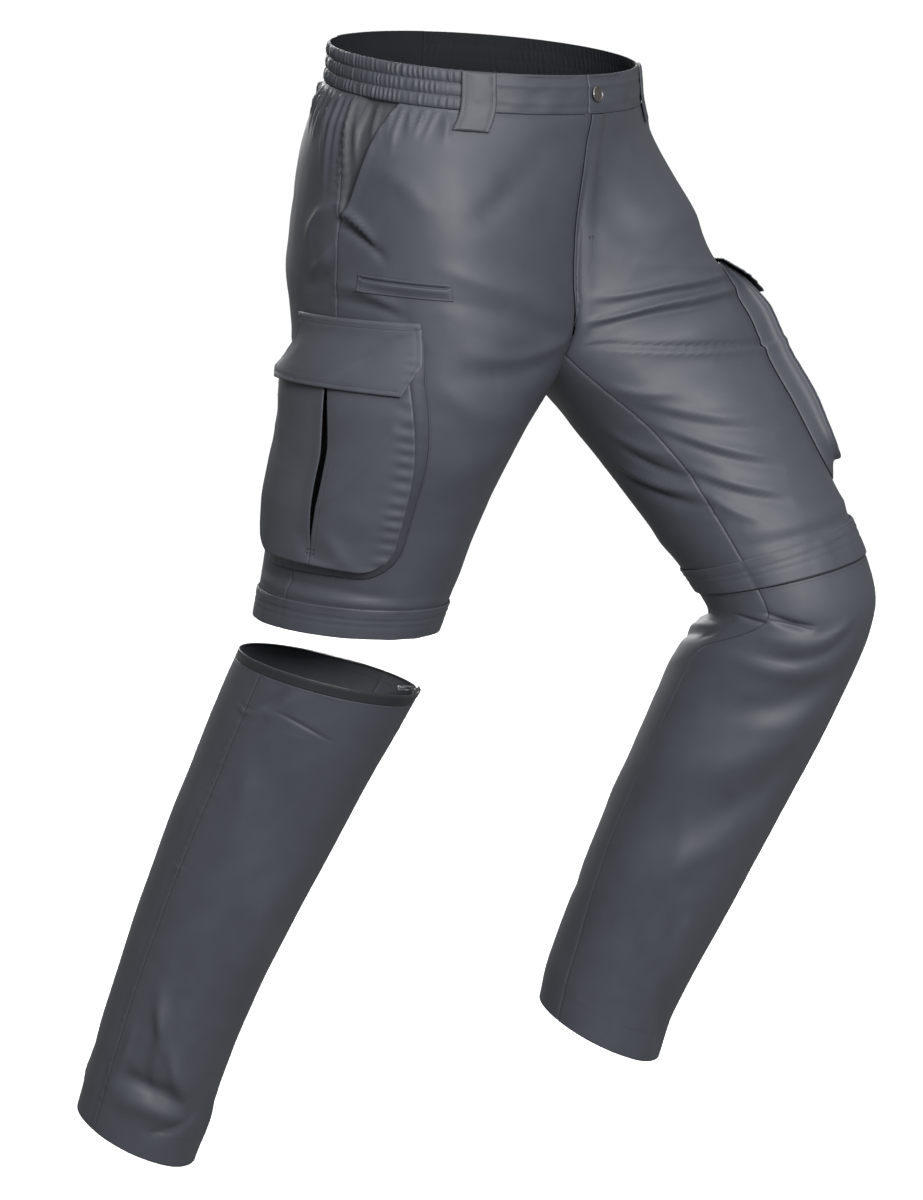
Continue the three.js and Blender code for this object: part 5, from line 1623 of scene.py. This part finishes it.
for leg in (UPPER_RIGHT, WHOLE_LEFT):
    name = side_name(leg.side)
    upper_front(leg)
    plain_panel(leg, "back", "upper", SEAM_GAP, PANEL_END, (FLAP_TOP,))
    pocket_facing(leg)
    cargo_face(f"cargo_front_{name}", leg, True)
    cargo_face(f"cargo_side_{name}", leg, False)
    cargo_gusset(leg)
    cargo_flap(leg)
    leg_band(f"zip_flap_{name}", CLOTH, "fabric", leg, FLAP_TOP, FLAP_END, FLAP_SEAT + WALL,
             extra=(FLAP_TOP + 2.2, FLAP_TOP + 8.0), ripple=0.5)
    belt_loop(f"belt_loop_front_{name}", leg.side * math.radians(BAND["elastic_from"]))
    belt_loop(f"belt_loop_back_{name}", leg.side * math.radians(BAND["elastic_to"]))
for leg in (LOWER_RIGHT, WHOLE_LEFT):
    dart_rows = tuple(range(540, 562, 2))
    for kind in ("front", "back"):
        plain_panel(leg, kind, "lower", LOWER_TOP, HEM, (HEM - HEM_TALL, *dart_rows))
leg_band("zip_tape_upper_right", TAPE_CLOTH, "zip_tape", UPPER_RIGHT, PANEL_END + 0.05, FLAP_END - 2, 0.0)
leg_band("zip_tape_lower_right", TAPE_CLOTH, "zip_tape", LOWER_RIGHT, TAPE_TOP, LOWER_TOP - 0.05, 0.0,
         reverse=LEG_INSIDE_PAINTED_LIGHT)
leg_band("zip_tape_left", TAPE_CLOTH, "zip_tape", WHOLE_LEFT, PANEL_END + 0.05, LOWER_TOP - 0.05, 0.0)
welt_pocket()

lap, half_gap = -BAND["lap"] / BAND["front_round"], 0.0004
edge = math.radians(BAND["elastic_from"])
back = math.radians(BAND["elastic_to"])
band_piece("waistband_front_left", lap + half_gap, edge)
band_piece("waistband_front_right", lap - half_gap, -edge)
band_piece("waistband_back", back, 2 * math.pi - back)
elastic_side(RIGHT)
elastic_side(LEFT)

above_zip, below_zip = (0, FLAP_TOP - 2), (LOWER_TOP + 4, HEM - 2)
sew("sewing_side_seams_right", seam_sewing(UPPER_RIGHT, *above_zip) + seam_sewing(LOWER_RIGHT, *below_zip))
sew("sewing_side_seams_left", seam_sewing(WHOLE_LEFT, *above_zip) + seam_sewing(WHOLE_LEFT, *below_zip)[:2])
sew("sewing_front", front_sewing(UPPER_RIGHT) + front_sewing(WHOLE_LEFT) + fly_sewing() + welt_sewing())
sew("sewing_cargo_right", cargo_sewing(UPPER_RIGHT))
sew("sewing_cargo_left", cargo_sewing(WHOLE_LEFT))
loop_rows = loop_sewing([-edge, edge, -back, back])
sew("sewing_band", band_sewing() + elastic_sewing() + loop_rows, "waistband_fabric")
right_rows = zip_sewing(UPPER_RIGHT, hem=False) + zip_sewing(LOWER_RIGHT, flap=False)
sew("sewing_zips", right_rows + zip_sewing(WHOLE_LEFT))
zip_coil("zip_coil_upper_right", UPPER_RIGHT, FLAP_END - 2, -WALL / 2)
zip_coil("zip_coil_lower_right", LOWER_RIGHT, TAPE_TOP + 0.2, -WALL / 2)
zip_coil("zip_coil_left", WHOLE_LEFT, 509.5, 0.3)
button()
bevelled("zip_slider", "metal_zip_slider", SLIDER_METAL, "slider_metal", "root")
pull_tab()

# Camera: the photo's view
TARGET = Vector((-13.5, 16.1, -493.5)) * MM
AZIMUTH, ELEVATION, DISTANCE = math.radians(-50), math.radians(9.4), 4.0
camera = in_scene("camera", bpy.data.cameras.new("camera"))
level = math.cos(ELEVATION)
towards = Vector((math.sin(AZIMUTH) * level, -math.cos(AZIMUTH) * level, math.sin(ELEVATION)))
camera.location = TARGET + towards * DISTANCE
camera.rotation_mode = "QUATERNION"
camera.rotation_quaternion = (-towards).to_track_quat("-Z", "Y")
camera.data.lens = 127.65
camera.data.clip_end = 400
bpy.context.scene.camera = camera

# Floor, well below the hanging leg, and a pale wall all round, far off, so that the floor has no horizon
FLOOR_DROP, FLOOR_FAR = 0.14, 150.0
WALL_FAR, WALL_TALL, WALL_SIDES = 40.0, 22.0, 64
PALE = (0.93, 0.93, 0.93, 1)
low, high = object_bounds()
floor_z = low.z - FLOOR_DROP


def stage_piece(name, points, faces, **shader_values):
    """A pale piece round the object that lights nothing."""
    mesh = bpy.data.meshes.new(name)
    mesh.from_pydata(points, [], faces)
    mesh.materials.append(Paint(f"{name}_paint", Base_Color=PALE, **shader_values).material)
    piece = in_scene(name, mesh)
    piece.visible_diffuse = piece.visible_glossy = False
    return piece


square = [(-FLOOR_FAR, -FLOOR_FAR), (FLOOR_FAR, -FLOOR_FAR), (FLOOR_FAR, FLOOR_FAR), (-FLOOR_FAR, FLOOR_FAR)]
floor = stage_piece("floor", [(x, y, floor_z) for x, y in square], [(0, 1, 2, 3)], Roughness=0.9)

turns = [2 * math.pi * k / WALL_SIDES for k in range(WALL_SIDES)]
ring = [(WALL_FAR * math.cos(turn), WALL_FAR * math.sin(turn)) for turn in turns]
wall_points = [(x, y, floor_z + tall) for tall in (0, WALL_TALL) for x, y in ring]
wall_faces = []
for k in range(WALL_SIDES):
    after = (k + 1) % WALL_SIDES
    wall_faces.append((k, after, after + WALL_SIDES, k + WALL_SIDES))
backdrop = stage_piece("backdrop", wall_points, wall_faces,
                       Emission_Color=(1, 1, 1, 1), Emission_Strength=1.0)
backdrop.visible_shadow = False


def area_light(name, position, size, power):
    """A square soft light that points at the middle of the object."""
    light = bpy.data.lights.new(name, "AREA")
    light.shape, light.size, light.energy = "SQUARE", size, power
    lamp = in_scene(name, light)
    lamp.location = position
    lamp.rotation_mode = "QUATERNION"
    lamp.rotation_quaternion = (Vector((0, 0, -0.5)) - Vector(position)).to_track_quat("-Z", "Y")


area_light("key", (-1.8, -3.0, 0.9), 1.1, 245)
area_light("back", (1.8, 3.1, 1.0), 1.6, 125)
overhead = bpy.data.lights.new("overhead", "SUN")
overhead.energy, overhead.angle = 2.6, math.radians(70)
in_scene("overhead", overhead).rotation_euler = (math.radians(8), math.radians(-18), 0)
world = bpy.data.worlds.new("studio")
world.use_nodes = True
world.node_tree.nodes["Background"].inputs["Color"].default_value = (1, 1, 1, 1)
world.node_tree.nodes["Background"].inputs["Strength"].default_value = 0.36
bpy.context.scene.world = world
bpy.context.scene.view_settings.view_transform = "Standard"
